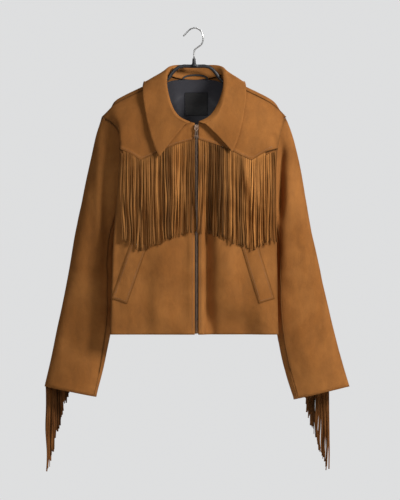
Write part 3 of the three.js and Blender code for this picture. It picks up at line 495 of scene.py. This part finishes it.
# width, length and area of each sleeve piece laid flat
SLEEVE_CUTS = {
    ("left", "top"): (0.146, 0.621, 0.0787), ("left", "under"): (0.150, 0.594, 0.0663),
    ("right", "top"): (0.197, 0.620, 0.1033), ("right", "under"): (0.116, 0.524, 0.0457),
}
sleeve_cloth = {}
for side in ("left", "right"):
    for part in ("top", "under"):
        node = "sleeve_%s_%s" % (side, part)
        mesh = cut_cloth(node, 3, lay_sleeve(side), on_cuff, meet=0.66)
        sleeve_cloth[side, part] = new_piece("sleeve_panel_%s_%s" % (side, part), mesh, jacket_suede)
        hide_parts(node)
        wide, long, area = SLEEVE_CUTS[side, part]

# ---------- collar ----------
# Two layers of suede with a light interlining between them, turned out and pressed. It stands at the
# neck, rolls over and falls to two points.


def lay_collar(x, y, z):
    ripple = noise.noise(Vector((x / 38, y / 38, z / 60)))
    falling = smooth(abs(x - 4), 60, 90)
    return x, y - 1.4 * ripple * falling, z


collar_cloth = new_piece(
    "collar_panel", cut_cloth("collar", 2, lay_collar, lambda x, y, z: True, 0.75), jacket_suede)
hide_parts("collar")

# ---------- lining, label and hang loop ----------
# Smooth charcoal satin, sewn in at the neck and loose below it. The woven label is caught by its
# upper corners, and the loop is a narrow black tape.


def satin():
    material, weave, surface = finish_material("charcoal_satin")
    place = weave.add("ShaderNodeTexCoord", output="Object")
    upright = weave.add("ShaderNodeMapping", {"Vector": place, "Scale": (1, 1, 0.12)})
    threads = weave.add(
        "ShaderNodeTexNoise", {"Vector": upright, "Scale": 1500.0, "Detail": 3.0, "Roughness": 0.6})
    cloud = weave.add("ShaderNodeTexNoise", {"Vector": place, "Scale": 16.0, "Detail": 3.0})
    tone = weave.blend(cloud, (0.034, 0.034, 0.042, 1), (0.055, 0.055, 0.066, 1))
    fine = weave.add("ShaderNodeMapRange", {0: threads, 1: 0.3, 2: 0.7, 3: 0.82, 4: 1.18})
    colour = weave.blend(1.0, tone, fine, "MULTIPLY")
    weave.tree.links.new(colour, surface.inputs["Base Color"])
    gloss = weave.add("ShaderNodeMapRange", {0: threads, 1: 0.3, 2: 0.7, 3: 0.38, 4: 0.55})
    weave.tree.links.new(gloss, surface.inputs["Roughness"])
    surface.inputs["Anisotropic"].default_value = 0.5
    surface.inputs["Specular IOR Level"].default_value = 0.45
    surface.inputs["Sheen Weight"].default_value = 0.15
    bump = weave.add(
        "ShaderNodeBump", {"Height": threads, "Strength": 0.25, "Distance": 0.12 * MM}, "Normal")
    weave.tree.links.new(bump, surface.inputs["Normal"])
    return material


LINING_FOLDS = [
    ((-42, -124), (-30, -330), 11, 2.6),
    ((46, -124), (34, -300), 10, 2.4),
    ((-14, -150), (-22, -420), 14, -2.0),
    ((22, -190), (10, -460), 16, 2.0),
    ((60, -130), (88, -340), 14, 2.6),
    ((-62, -132), (-84, -360), 14, 2.6),
    ((-90, -300), (-60, -620), 20, 3.0),
    ((84, -320), (70, -630), 22, 3.0),
]


def lay_lining(x, y, z):
    """The lining goes in wherever the back does, and its own folds only stand further in."""
    own = soft_folds(LINING_FOLDS, x, z) + 1.0 * noise.noise(Vector((x / 24, z / 60, 2.2)))
    depth = max(0.0, own) * smooth(-z, 118, 150) + max(0.0, back_depth(x, z)) + 0.6 * smooth(-z, 118, 150)
    return x, y - depth, z + 3.5 * smooth(z, -136, -112)


lining_cloth = new_piece("lining_panel", cut_cloth("lining", 3, lay_lining), satin())
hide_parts("lining")


def label_weave():
    material, weave, surface = finish_material("label_weave")
    place = weave.add("ShaderNodeTexCoord", output="Object")
    picks = weave.add(
        "ShaderNodeTexWave", {"Vector": place, "Scale": 520.0, "Distortion": 1.2},
        bands_direction="Z")
    ends = weave.add("ShaderNodeTexNoise", {"Vector": place, "Scale": 1300.0, "Detail": 3.0})
    colour = weave.blend(ends, (0.010, 0.010, 0.011, 1), (0.026, 0.025, 0.026, 1))
    weave.tree.links.new(colour, surface.inputs["Base Color"])
    gloss = weave.add("ShaderNodeMapRange", {0: picks, 3: 0.5, 4: 0.68})
    weave.tree.links.new(gloss, surface.inputs["Roughness"])
    surface.inputs["Specular IOR Level"].default_value = 0.4
    bump = weave.add(
        "ShaderNodeBump", {"Height": picks, "Strength": 0.4, "Distance": 0.15 * MM}, "Normal")
    weave.tree.links.new(bump, surface.inputs["Normal"])
    return material


def lay_label(x, y, z):
    lifted = smooth(-z, 168, 194)
    return x, y - 0.9 - 2.6 * lifted * (0.6 + 0.4 * smooth(x, -20, 30)), z


label_cloth = new_piece("neck_label", cut_cloth("label", 3, lay_label), label_weave())
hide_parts("label")


def loop_tape():
    material, weave, surface = finish_material("loop_tape")
    place = weave.add("ShaderNodeTexCoord", output="Object")
    ribs = weave.add(
        "ShaderNodeTexWave", {"Vector": place, "Scale": 420.0, "Distortion": 0.8},
        bands_direction="X")
    colour = weave.blend(ribs, (0.010, 0.009, 0.009, 1), (0.030, 0.026, 0.024, 1))
    weave.tree.links.new(colour, surface.inputs["Base Color"])
    surface.inputs["Roughness"].default_value = 0.75
    bump = weave.add(
        "ShaderNodeBump", {"Height": ribs, "Strength": 0.4, "Distance": 0.2 * MM}, "Normal")
    weave.tree.links.new(bump, surface.inputs["Normal"])
    return material


loop_cloth = new_piece(
    "hang_loop_tape", cut_cloth("hang_loop", 3, lambda x, y, z: (x, y, z)), loop_tape())
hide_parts("hang_loop")

# ---------- pocket welts ----------
# A slanting welt of folded suede on each front covers the mouth of the pocket, and is topstitched
# along its sides.


def lay_welt(x, y, z):
    return x, y + front_depth(x, z), z


for side in ("left", "right"):
    welt = new_piece(
        "welt_panel_" + side, cut_cloth("welt_" + side, 3, lay_welt, None, 0.7), jacket_suede)
    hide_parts("welt_" + side)

# ---------- fringe ----------
# Long strips cut side by side in strips of suede. One hangs from the yoke seam of each front and one
# from the hind-arm seam of each sleeve. They twist and sway a little, so some show their edges.


def ray_tree(pieces):
    """What a straight line through these pieces meets, as a tree of their faces."""
    points, faces = [], []
    for piece in pieces:
        start = len(points)
        points += [v.co.copy() for v in piece.data.vertices]
        faces += [[start + i for i in f.vertices] for f in piece.data.polygons]
    return BVHTree.FromPolygons(points, faces)


def thread_line(name, places):
    """A bare line of points, in mm, for a node tree to follow."""
    mesh = bpy.data.meshes.new(name)
    edges = [(i, i + 1) for i in range(len(places) - 1)]
    mesh.from_pydata([Vector(p) * MM for p in places], edges, [])
    line = bpy.data.objects.new(name, mesh)
    bpy.context.scene.collection.objects.link(line)
    return line


def grow(name, line, tree, values):
    """Runs a node tree on a line of points, and gives the plain mesh that comes out."""
    maker = line.modifiers.new("maker", "NODES")
    maker.node_group = tree
    for item in tree.interface.items_tree:
        if item.item_type == "SOCKET" and item.in_out == "INPUT" and item.name in values:
            maker[item.identifier] = values[item.name]
    line.update_tag()
    drawn = line.evaluated_get(bpy.context.evaluated_depsgraph_get())
    mesh = bpy.data.meshes.new_from_object(drawn)
    mesh.name = name
    line.modifiers.clear()
    bpy.data.objects.remove(line)
    return mesh


def new_tree(name, inputs):
    """An empty geometry tree with named inputs, its builder and its input node."""
    tree = bpy.data.node_groups.new(name, "GeometryNodeTree")
    tree.interface.new_socket("Geometry", in_out="INPUT", socket_type="NodeSocketGeometry")
    for label, kind, value in inputs:
        socket = tree.interface.new_socket(label, in_out="INPUT", socket_type="NodeSocket" + kind)
        if value is not None:
            socket.default_value = value
    tree.interface.new_socket("Geometry", in_out="OUTPUT", socket_type="NodeSocketGeometry")
    weave = Weave(tree)
    return tree, weave, weave.add("NodeGroupInput", output=None)


def fringe_tree():
    """Strips of one size along a line, each with its own twist, sway, length and painted light and shade.
    """
    tree, w, given = new_tree("fringe_strips", [
        ("Cloth behind", "Object", None),
        ("Outward", "Float", -1.0),
        ("Pitch", "Float", 4.3 * MM),
        ("Half width", "Float", 2.2 * MM),
        ("Half thickness", "Float", 0.7 * MM),
        ("Length", "Float", 203 * MM),
        ("Length change", "Float", 0.03),
        ("Sway", "Float", 5 * MM),
        ("Twist", "Float", 1.2),
        ("Lift", "Float", 3 * MM),
        ("Loose lift", "Float", 4 * MM),
        ("Seed", "Int", 1),
        ("Material", "Material", None),
    ])
    out = given.outputs
    curve = w.add("GeometryNodeMeshToCurve", {"Mesh": out["Geometry"]})
    spaced = w.add("GeometryNodeResampleCurve", {"Curve": curve, "Length": out["Pitch"]}, mode="LENGTH")
    dots = w.add("GeometryNodeCurveToPoints", {"Curve": spaced}, mode="EVALUATED")
    marked = w.add(
        "GeometryNodeStoreNamedAttribute",
        {"Geometry": dots, "Name": "root", "Value": w.add("GeometryNodeInputPosition")},
        data_type="FLOAT_VECTOR")
    marked = w.add(
        "GeometryNodeStoreNamedAttribute",
        {"Geometry": marked, "Name": "strip", "Value": w.add("GeometryNodeInputIndex")},
        data_type="INT")
    strip = w.add(
        "GeometryNodeMeshCylinder",
        {"Vertices": 8, "Side Segments": 22, "Radius": 1.0, "Depth": 1.0}, fill_type="TRIANGLE_FAN")
    strips = w.add("GeometryNodeInstanceOnPoints", {"Points": marked, "Instance": strip})
    strips = w.add("GeometryNodeRealizeInstances", {"Geometry": strips})

    root = w.add("GeometryNodeInputNamedAttribute", {"Name": "root"}, data_type="FLOAT_VECTOR")
    number = w.add("GeometryNodeInputNamedAttribute", {"Name": "strip"}, data_type="INT")
    place = w.add("GeometryNodeInputPosition")
    local = w.add("ShaderNodeVectorMath", {0: place, 1: root}, operation="SUBTRACT")
    split = w.add("ShaderNodeSeparateXYZ", {0: local}, None)
    root_split = w.add("ShaderNodeSeparateXYZ", {0: root}, None)
    down = w.math("SUBTRACT", 0.5, split.outputs[2])

    def chance(low, high, step):
        seed = w.math("ADD", out["Seed"], float(step))
        node = w.add("FunctionNodeRandomValue", None, None, data_type="FLOAT")
        node.inputs[2].default_value = low
        node.inputs[3].default_value = high
        tree.links.new(number, node.inputs["ID"])
        tree.links.new(seed, node.inputs["Seed"])
        return node.outputs[1]

    def drift(across, along, offset):
        """Smooth noise that neighbours share, from -1 to 1."""
        where = w.add("ShaderNodeCombineXYZ", {
            0: w.math("MULTIPLY", root_split.outputs[0], across),
            1: w.math("ADD", w.math("MULTIPLY", root_split.outputs[2], across), out["Seed"]),
            2: w.math("MULTIPLY_ADD", down, along, offset)})
        cloud = w.add("ShaderNodeTexNoise", {"Vector": where, "Scale": 1.0, "Detail": 1.0})
        return w.math("MULTIPLY_ADD", cloud, 4.0, -2.0)

    loose = w.math("POWER", down, 0.45)
    own_turn = w.math("MULTIPLY", chance(-1.0, 1.0, 1), loose)
    sweep = w.math("SINE", w.math("MULTIPLY_ADD", down, chance(2.0, 6.0, 2), chance(0.0, 6.28, 3)))
    turn = w.math("MULTIPLY_ADD", w.math("MULTIPLY", sweep, 0.45), loose, own_turn)
    turn = w.math("ADD", turn, w.math("MULTIPLY", drift(30.0, 1.3, 4.0), loose))
    turn = w.math("MULTIPLY", turn, out["Twist"])
    width = w.math("MULTIPLY", out["Half width"], chance(0.86, 1.1, 4))
    flat_x = w.math("MULTIPLY", split.outputs[0], width)
    flat_y = w.math("MULTIPLY", split.outputs[1], out["Half thickness"])
    cos, sin = w.math("COSINE", turn), w.math("SINE", turn)
    ring_x = w.math("SUBTRACT", w.math("MULTIPLY", flat_x, cos), w.math("MULTIPLY", flat_y, sin))
    ring_y = w.math("ADD", w.math("MULTIPLY", flat_x, sin), w.math("MULTIPLY", flat_y, cos))

    swing = w.math("MULTIPLY", chance(-0.5, 0.5, 5), w.math("POWER", down, 1.3))
    swing = w.math("ADD", swing, w.math("MULTIPLY", drift(18.0, 1.6, 9.0), w.math("MULTIPLY", down, 0.6)))
    wave = w.math("SINE", w.math("MULTIPLY_ADD", down, chance(3.0, 8.0, 6), chance(0.0, 6.28, 7)))
    swing = w.math("ADD", swing, w.math("MULTIPLY", wave, w.math("MULTIPLY", loose, 0.17)))
    middle_x = w.math("MULTIPLY_ADD", swing, out["Sway"], root_split.outputs[0])
    long = w.math("MULTIPLY_ADD", chance(-1.0, 1.0, 8), out["Length change"], 1.0)
    fall = w.math("MULTIPLY", w.math("MULTIPLY", down, out["Length"]), long)
    new_z = w.math("SUBTRACT", root_split.outputs[2], fall)

    behind = w.add("GeometryNodeObjectInfo", {"Object": out["Cloth behind"]}, "Geometry")
    eye = w.add("ShaderNodeCombineXYZ", {
        0: middle_x, 1: w.math("MULTIPLY", out["Outward"], 0.4), 2: new_z})
    towards = w.add("ShaderNodeCombineXYZ", {1: w.math("MULTIPLY", out["Outward"], -1.0)})
    met = w.add("GeometryNodeRaycast", {
        "Target Geometry": behind, "Source Position": eye, "Ray Direction": towards,
        "Ray Length": 0.6}, None)
    met_y = w.add("ShaderNodeSeparateXYZ", {0: met.outputs["Hit Position"]}, None).outputs[1]
    surface_y = w.add(
        "GeometryNodeSwitch",
        {"Switch": met.outputs["Is Hit"], "False": root_split.outputs[1], "True": met_y},
        input_type="FLOAT")
    rise = w.math("MULTIPLY", w.math("MINIMUM", w.math("MULTIPLY", down, 14.0), 1.0), out["Lift"])
    extra = w.math("ADD", chance(0.0, 0.8, 9), w.math("MULTIPLY", drift(26.0, 0.8, 2.0), 0.4))
    extra = w.math("MULTIPLY", w.math("MAXIMUM", extra, 0.0), w.math("MULTIPLY", loose, out["Loose lift"]))
    stand = w.math("MULTIPLY", w.math("ADD", rise, extra), out["Outward"])
    new_y = w.math("ADD", w.math("ADD", surface_y, stand), ring_y)
    new_x = w.math("ADD", middle_x, ring_x)
    hung = w.add("GeometryNodeSetPosition", {
        "Geometry": strips, "Position": w.add("ShaderNodeCombineXYZ", {0: new_x, 1: new_y, 2: new_z})})
    # Painted light and shade: each strip, and each group of neighbours, is made lighter or darker at
    # random, standing in for strips that catch the light or lie back in shade.
    tone = w.math("ADD", chance(0.15, 0.85, 11), w.math("MULTIPLY", drift(22.0, 0.9, 6.0), 0.45))
    hung = w.add(
        "GeometryNodeStoreNamedAttribute",
        {"Geometry": hung, "Name": "shade", "Value": w.math("MAXIMUM", tone, 0.0)},
        data_type="FLOAT")
    # Painted shade at the top of each strip, just under the seam it hangs from, through the seam attribute.
    hung = w.add(
        "GeometryNodeStoreNamedAttribute",
        {"Geometry": hung, "Name": "seam", "Value": w.math("POWER", w.math("SUBTRACT", 1.0, down), 24.0)},
        data_type="FLOAT")
    for name in ("root", "strip"):
        hung = w.add("GeometryNodeRemoveAttribute", {"Geometry": hung, "Name": name})
    hung = w.add("GeometryNodeSetShadeSmooth", {"Geometry": hung})
    hung = w.add("GeometryNodeRealizeInstances", {"Geometry": hung})
    hung = w.add("GeometryNodeSetMaterial", {"Geometry": hung, "Material": out["Material"]})
    w.add("NodeGroupOutput", {"Geometry": hung}, None)
    return tree


fringe_suede = suede(
    "fringe_suede", (0.205, 0.078, 0.017, 1), (0.305, 0.125, 0.031, 1), (0.46, 0.205, 0.060, 1), 0.16,
    strips=True)
# A darker copy of the fringe suede: painted shade for the strips that hang behind the sleeves.
sleeve_fringe_suede = suede(
    "sleeve_fringe_suede", (0.105, 0.036, 0.008, 1), (0.150, 0.056, 0.014, 1),
    (0.225, 0.092, 0.026, 1), 0.14, strips=True)
cut_strips = fringe_tree()

FRONT_FRINGE_LONG = 204
SLEEVE_FRINGE_LONG = {"left": 190, "right": 178}
FRINGE_FROM_ZIP = 5.4
for side in ("left", "right"):
    backing = ray_tree([front_cloth[side]])
    line = []
    for x, y, z in top_line("fringe_front_" + side):
        met = backing.ray_cast(Vector((x, -400, z - 4)) * MM, Vector((0, 1, 0)))[0]
        line.append((x, (met.y / MM if met else y) - 0.6, z + 1.5))
    if side == "left":
        line[-1] = (ZIP_X - FRINGE_FROM_ZIP, line[-1][1], line[-1][2])
    else:
        line[0] = (ZIP_X + FRINGE_FROM_ZIP, line[0][1], line[0][2])
    mesh = grow("fringe_front_strips_" + side, thread_line("yoke_line_" + side, line), cut_strips, {
        "Cloth behind": front_cloth[side], "Outward": -1.0, "Pitch": 4.8 * MM,
        "Half width": 2.4 * MM, "Half thickness": 0.8 * MM, "Length": FRONT_FRINGE_LONG * MM,
        "Length change": 0.02, "Sway": 7 * MM, "Twist": 1.7, "Lift": 2.4 * MM,
        "Loose lift": 5.5 * MM, "Seed": 11 if side == "left" else 29, "Material": fringe_suede})
    strips = new_piece("fringe_front_strips_" + side, mesh, fringe_suede)
    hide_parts("fringe_front_" + side)

for side in ("left", "right"):
    line = [(x, y - 3.5, z + 1) for x, y, z in top_line("fringe_sleeve_" + side)]
    long = SLEEVE_FRINGE_LONG[side]
    mesh = grow("fringe_sleeve_strips_" + side, thread_line("hind_arm_line_" + side, line), cut_strips, {
        "Cloth behind": sleeve_cloth[side, "under"], "Outward": 1.0, "Pitch": 4.4 * MM,
        "Half width": 2.1 * MM, "Half thickness": 0.75 * MM, "Length": long * MM,
        "Length change": 0.035, "Sway": 5 * MM, "Twist": 1.6, "Lift": 2.4 * MM,
        "Loose lift": 6.0 * MM, "Seed": 47 if side == "left" else 53, "Material": sleeve_fringe_suede})
    strips = new_piece("fringe_sleeve_strips_" + side, mesh, sleeve_fringe_suede)
    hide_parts("fringe_sleeve_" + side)

# ---------- zip ----------
# Woven tapes behind both folded edges, coated metal teeth on their inner edges, and a cast slider
# with a frame-shaped pull that hinges on its bridge.


def zip_weave():
    material, weave, surface = finish_material("zip_tape_weave")
    place = weave.add("ShaderNodeTexCoord", output="Object")
    ribs = weave.add(
        "ShaderNodeTexWave", {"Vector": place, "Scale": 480.0, "Distortion": 0.6},
        bands_direction="X")
    picks = weave.add("ShaderNodeTexNoise", {"Vector": place, "Scale": 900.0, "Detail": 3.0})
    colour = weave.blend(picks, (0.11, 0.058, 0.040, 1), (0.20, 0.11, 0.075, 1))
    weave.tree.links.new(colour, surface.inputs["Base Color"])
    surface.inputs["Roughness"].default_value = 0.85
    bump = weave.add(
        "ShaderNodeBump", {"Height": ribs, "Strength": 0.4, "Distance": 0.2 * MM}, "Normal")
    weave.tree.links.new(bump, surface.inputs["Normal"])
    return material


def zip_metal():
    material, weave, surface = finish_material("zip_metal")
    place = weave.add("ShaderNodeTexCoord", output="Object")
    worn = weave.add("ShaderNodeTexNoise", {"Vector": place, "Scale": 260.0, "Detail": 4.0})
    fine = weave.add("ShaderNodeTexNoise", {"Vector": place, "Scale": 2200.0, "Detail": 2.0})
    colour = weave.blend(worn, (0.22, 0.13, 0.085, 1), (0.50, 0.36, 0.27, 1))
    weave.tree.links.new(colour, surface.inputs["Base Color"])
    rough = weave.add("ShaderNodeMapRange", {0: worn, 1: 0.3, 2: 0.7, 3: 0.28, 4: 0.5})
    weave.tree.links.new(rough, surface.inputs["Roughness"])
    surface.inputs["Metallic"].default_value = 1.0
    bump = weave.add(
        "ShaderNodeBump", {"Height": fine, "Strength": 0.15, "Distance": 0.05 * MM}, "Normal")
    weave.tree.links.new(bump, surface.inputs["Normal"])
    return material


tape_weave = zip_weave()
teeth_metal = zip_metal()
for side in ("left", "right"):
    tape = new_piece(
        "zip_tape_weave_" + side,
        cut_cloth("zip_tape_" + side, 2, lambda x, y, z: (x, y, z), None, 1.0), tape_weave)
    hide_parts("zip_tape_" + side)


def teeth_tree():
    """Teeth along a line, set left and right in turn."""
    tree, w, given = new_tree("zip_teeth", [
        ("Pitch", "Float", 1.1 * MM),
        ("Reach", "Float", 0.85 * MM),
        ("Tooth", "Vector", (2.8 * MM, 1.9 * MM, 0.95 * MM)),
        ("Head", "Float", 0.75 * MM),
        ("Material", "Material", None),
    ])
    out = given.outputs
    curve = w.add("GeometryNodeMeshToCurve", {"Mesh": out["Geometry"]})
    dots = w.add("GeometryNodeResampleCurve", {"Curve": curve, "Length": out["Pitch"]}, mode="LENGTH")
    odd = w.math("MULTIPLY_ADD", w.math("MODULO", w.add("GeometryNodeInputIndex"), 2.0), 2.0, -1.0)
    aside = w.add("ShaderNodeCombineXYZ", {0: w.math("MULTIPLY", odd, out["Reach"])})
    dots = w.add("GeometryNodeSetPosition", {"Geometry": dots, "Offset": aside})
    leg = w.add("GeometryNodeMeshCube", {"Size": out["Tooth"]})
    head = w.add(
        "GeometryNodeMeshCylinder",
        {"Vertices": 10, "Radius": out["Head"], "Depth": 2.2 * MM}, fill_type="TRIANGLE_FAN")
    head = w.add("GeometryNodeTransform", {"Geometry": head, "Rotation": (math.pi / 2, 0, 0)})
    tooth = w.add("GeometryNodeJoinGeometry", {"Geometry": leg}, None)
    tree.links.new(head, tooth.inputs["Geometry"])
    teeth = w.add("GeometryNodeInstanceOnPoints", {"Points": dots, "Instance": tooth.outputs[0]})
    teeth = w.add("GeometryNodeRealizeInstances", {"Geometry": teeth})
    teeth = w.add("GeometryNodeSetMaterial", {"Geometry": teeth, "Material": out["Material"]})
    w.add("NodeGroupOutput", {"Geometry": teeth}, None)
    return tree


def strip_middle(node):
    """The middle of the outer face of an upright strip, from its top down, in mm."""
    rows = {}
    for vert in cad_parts[node].data.vertices:
        rows.setdefault(round(vert.co.z / MM), []).append(vert.co.y / MM)
    low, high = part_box(node)
    x = (low.x + high.x) / 2 / MM
    return [(x, min(ys), z) for z, ys in sorted(rows.items(), reverse=True)]


chain_line = [(x, y + 1.3, z) for x, y, z in strip_middle("zip_chain")]
teeth_mesh = grow("zip_teeth", thread_line("chain_line", chain_line), teeth_tree(), {
    "Pitch": 1.3 * MM, "Reach": 1.1 * MM, "Material": teeth_metal})
teeth = new_piece("zip_teeth", teeth_mesh, teeth_metal)
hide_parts("zip_chain")


def eased_copy(node, width, segments=2):
    """A welded copy of a hard CAD node with its edges eased."""
    solid = bmesh.new()
    solid.from_mesh(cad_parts[node].data)
    bmesh.ops.remove_doubles(solid, verts=solid.verts, dist=0.01 * MM)
    bmesh.ops.dissolve_limit(
        solid, angle_limit=math.radians(1), verts=solid.verts, edges=solid.edges)
    keen = [e for e in solid.edges if e.calc_face_angle(0) > math.radians(35)]
    bmesh.ops.bevel(
        solid, geom=keen, offset=width * MM, segments=segments, affect="EDGES",
        clamp_overlap=True, profile=0.5)
    for face in solid.faces:
        face.smooth = True
    mesh = bpy.data.meshes.new(node + "_eased")
    solid.to_mesh(mesh)
    solid.free()
    mesh.set_sharp_from_angle(angle=math.radians(40))
    return mesh


slider = new_piece("zip_slider_cast", eased_copy("zip_slider", 0.35), teeth_metal)
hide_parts("zip_slider")
pull = new_piece("zip_pull_cast", eased_copy("zip_pull", 0.25), teeth_metal, "pull")
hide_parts("zip_pull")

# ---------- topstitching ----------
# Thread in the suede's own brown, sewn along the yokes, the closing and the welts.


def thread():
    material, weave, surface = finish_material("thread")
    place = weave.add("ShaderNodeTexCoord", output="Object")
    ply = weave.add("ShaderNodeTexNoise", {"Vector": place, "Scale": 2600.0, "Detail": 2.0})
    colour = weave.blend(ply, (0.17, 0.075, 0.024, 1), (0.30, 0.145, 0.055, 1))
    weave.tree.links.new(colour, surface.inputs["Base Color"])
    surface.inputs["Roughness"].default_value = 0.6
    surface.inputs["Sheen Weight"].default_value = 0.2
    return material


def stitch_tree():
    """Short stitches laid end to end along a line."""
    tree, w, given = new_tree("stitch_run", [
        ("Pitch", "Float", 3.4 * MM),
        ("Stitch", "Vector", (0.42 * MM, 0.42 * MM, 1.35 * MM)),
        ("Material", "Material", None),
    ])
    out = given.outputs
    curve = w.add("GeometryNodeMeshToCurve", {"Mesh": out["Geometry"]})
    dots = w.add("GeometryNodeResampleCurve", {"Curve": curve, "Length": out["Pitch"]}, mode="LENGTH")
    along = w.add("FunctionNodeAlignEulerToVector", {"Vector": w.add("GeometryNodeInputTangent")}, axis="Z")
    bead = w.add("GeometryNodeMeshUVSphere", {"Segments": 6, "Rings": 5, "Radius": 1.0})
    run = w.add("GeometryNodeInstanceOnPoints", {
        "Points": dots, "Instance": bead, "Rotation": along, "Scale": out["Stitch"]})
    run = w.add("GeometryNodeRealizeInstances", {"Geometry": run})
    run = w.add("GeometryNodeSetShadeSmooth", {"Geometry": run})
    run = w.add("GeometryNodeSetMaterial", {"Geometry": run, "Material": out["Material"]})
    w.add("NodeGroupOutput", {"Geometry": run}, None)
    return tree


sewing_thread = thread()
stitch_run = stitch_tree()


def sew(name, places, surfaces, towards=(0, 1, 0), lift=0.12):
    """Drops a line of places onto the cloth and sews along it."""
    cloth = ray_tree(surfaces)
    way = Vector(towards)
    laid = []
    for first, second in zip(places, places[1:]):
        start, end = Vector(first), Vector(second)
        pieces = max(1, round((end - start).length / 5))
        for step in range(pieces):
            spot = start.lerp(end, step / pieces)
            met = cloth.ray_cast((spot - way * 300) * MM, way)[0]
            if met is not None:
                laid.append(met / MM - way * lift)
    return grow(name, thread_line(name + "_line", laid), stitch_run, {"Material": sewing_thread})


def sewn(name, mesh):
    stitches = new_piece(name, mesh, sewing_thread)


CLOSING_STITCH_OUT = 9.5
WELT_TOP_X, WELT_FOOT_X = {"left": -120, "right": 122}, {"left": -165.5, "right": 162}
WELT_TOP_Z, WELT_FOOT_Z = -478, -608
WELT_STITCH_OUT = 14
WELT_STITCH_IN = 4
for side, sign in (("left", -1), ("right", 1)):
    yoke = bpy.data.objects["yoke_panel_" + side]
    hem_line = [(x, 0, z + 5.5) for x, _, z in yoke_hem[side]]
    sewn("yoke_stitches_" + side, sew("yoke_stitches_" + side, hem_line, [yoke]))
    edge = ZIP_X + sign * CLOSING_STITCH_OUT
    closing = [(edge, 0, z) for z in (-262, -300, -400, -500, -600, -676)]
    sewn("closing_stitches_" + side, sew("closing_stitches_" + side, closing, [front_cloth[side]]))
    welt = bpy.data.objects["welt_panel_" + side]
    top = Vector((WELT_TOP_X[side], 0, WELT_TOP_Z))
    bottom = Vector((WELT_FOOT_X[side], 0, WELT_FOOT_Z))
    slant = (bottom - top).normalized()
    across = Vector((-slant.z, 0, slant.x)) * WELT_STITCH_OUT
    head, foot = top + slant * WELT_STITCH_IN, bottom - slant * WELT_STITCH_IN
    outline = [head - across, foot - across, foot + across, head + across, head - across]
    sewn("welt_stitches_" + side, sew("welt_stitches_" + side, outline, [welt]))

# ---------- studio ----------
# A plain pale floor below the hanging jacket, soft light from the upper right, and a level camera in
# front of the jacket.
floor_mesh = bpy.data.meshes.new("floor")
floor_shape = bmesh.new()
bmesh.ops.create_circle(floor_shape, cap_ends=True, segments=96, radius=1.05)
bmesh.ops.translate(floor_shape, verts=floor_shape.verts, vec=(0, 0, -1.3))
floor_shape.to_mesh(floor_mesh)
floor_shape.free()
floor = bpy.data.objects.new("floor", floor_mesh)
bpy.context.scene.collection.objects.link(floor)
floor_paint, weave, surface = finish_material("floor_paint")
surface.inputs["Base Color"].default_value = (0.72, 0.72, 0.71, 1)
surface.inputs["Roughness"].default_value = 0.9
floor_mesh.materials.append(floor_paint)


def soft_light(name, place, power, size, colour=(1, 1, 1)):
    lamp = bpy.data.lights.new(name, "AREA")
    lamp.energy = power
    lamp.shape = "DISK"
    lamp.size = size
    lamp.color = colour
    light = bpy.data.objects.new(name, lamp)
    light.location = place
    light.rotation_mode = "QUATERNION"
    light.rotation_quaternion = (Vector((0, 0, -0.45)) - Vector(place)).to_track_quat("-Z", "Y")
    bpy.context.scene.collection.objects.link(light)
    return light


soft_light("key", (1.9, -1.5, 0.75), 84, 0.8, (1.0, 0.98, 0.95))
soft_light("fill", (-1.0, -3.2, 0.5), 23, 1.6)
soft_light("back", (0.4, 2.6, 0.9), 56, 1.8)

world = bpy.data.worlds.new("pale_room")
world.use_nodes = True
room = world.node_tree
backdrop = room.nodes["Background"]
backdrop.inputs["Color"].default_value = (0.73, 0.735, 0.74, 1)
glow = room.nodes.new("ShaderNodeBackground")
glow.inputs["Color"].default_value = (0.73, 0.735, 0.75, 1)
glow.inputs["Strength"].default_value = 0.13
path = room.nodes.new("ShaderNodeLightPath")
mixed = room.nodes.new("ShaderNodeMixShader")
room.links.new(path.outputs["Is Camera Ray"], mixed.inputs[0])
room.links.new(glow.outputs[0], mixed.inputs[1])
room.links.new(backdrop.outputs[0], mixed.inputs[2])
room.links.new(mixed.outputs[0], room.nodes["World Output"].inputs["Surface"])
bpy.context.scene.world = world
bpy.context.scene.view_settings.view_transform = "Standard"

camera_data = bpy.data.cameras.new("camera")
camera_data.lens = 259.5
camera = bpy.data.objects.new("camera", camera_data)
camera.location = (0.0133, -8.058, -0.495)
camera.rotation_euler = (math.pi / 2, 0, 0)
bpy.context.scene.collection.objects.link(camera)
bpy.context.scene.camera = camera
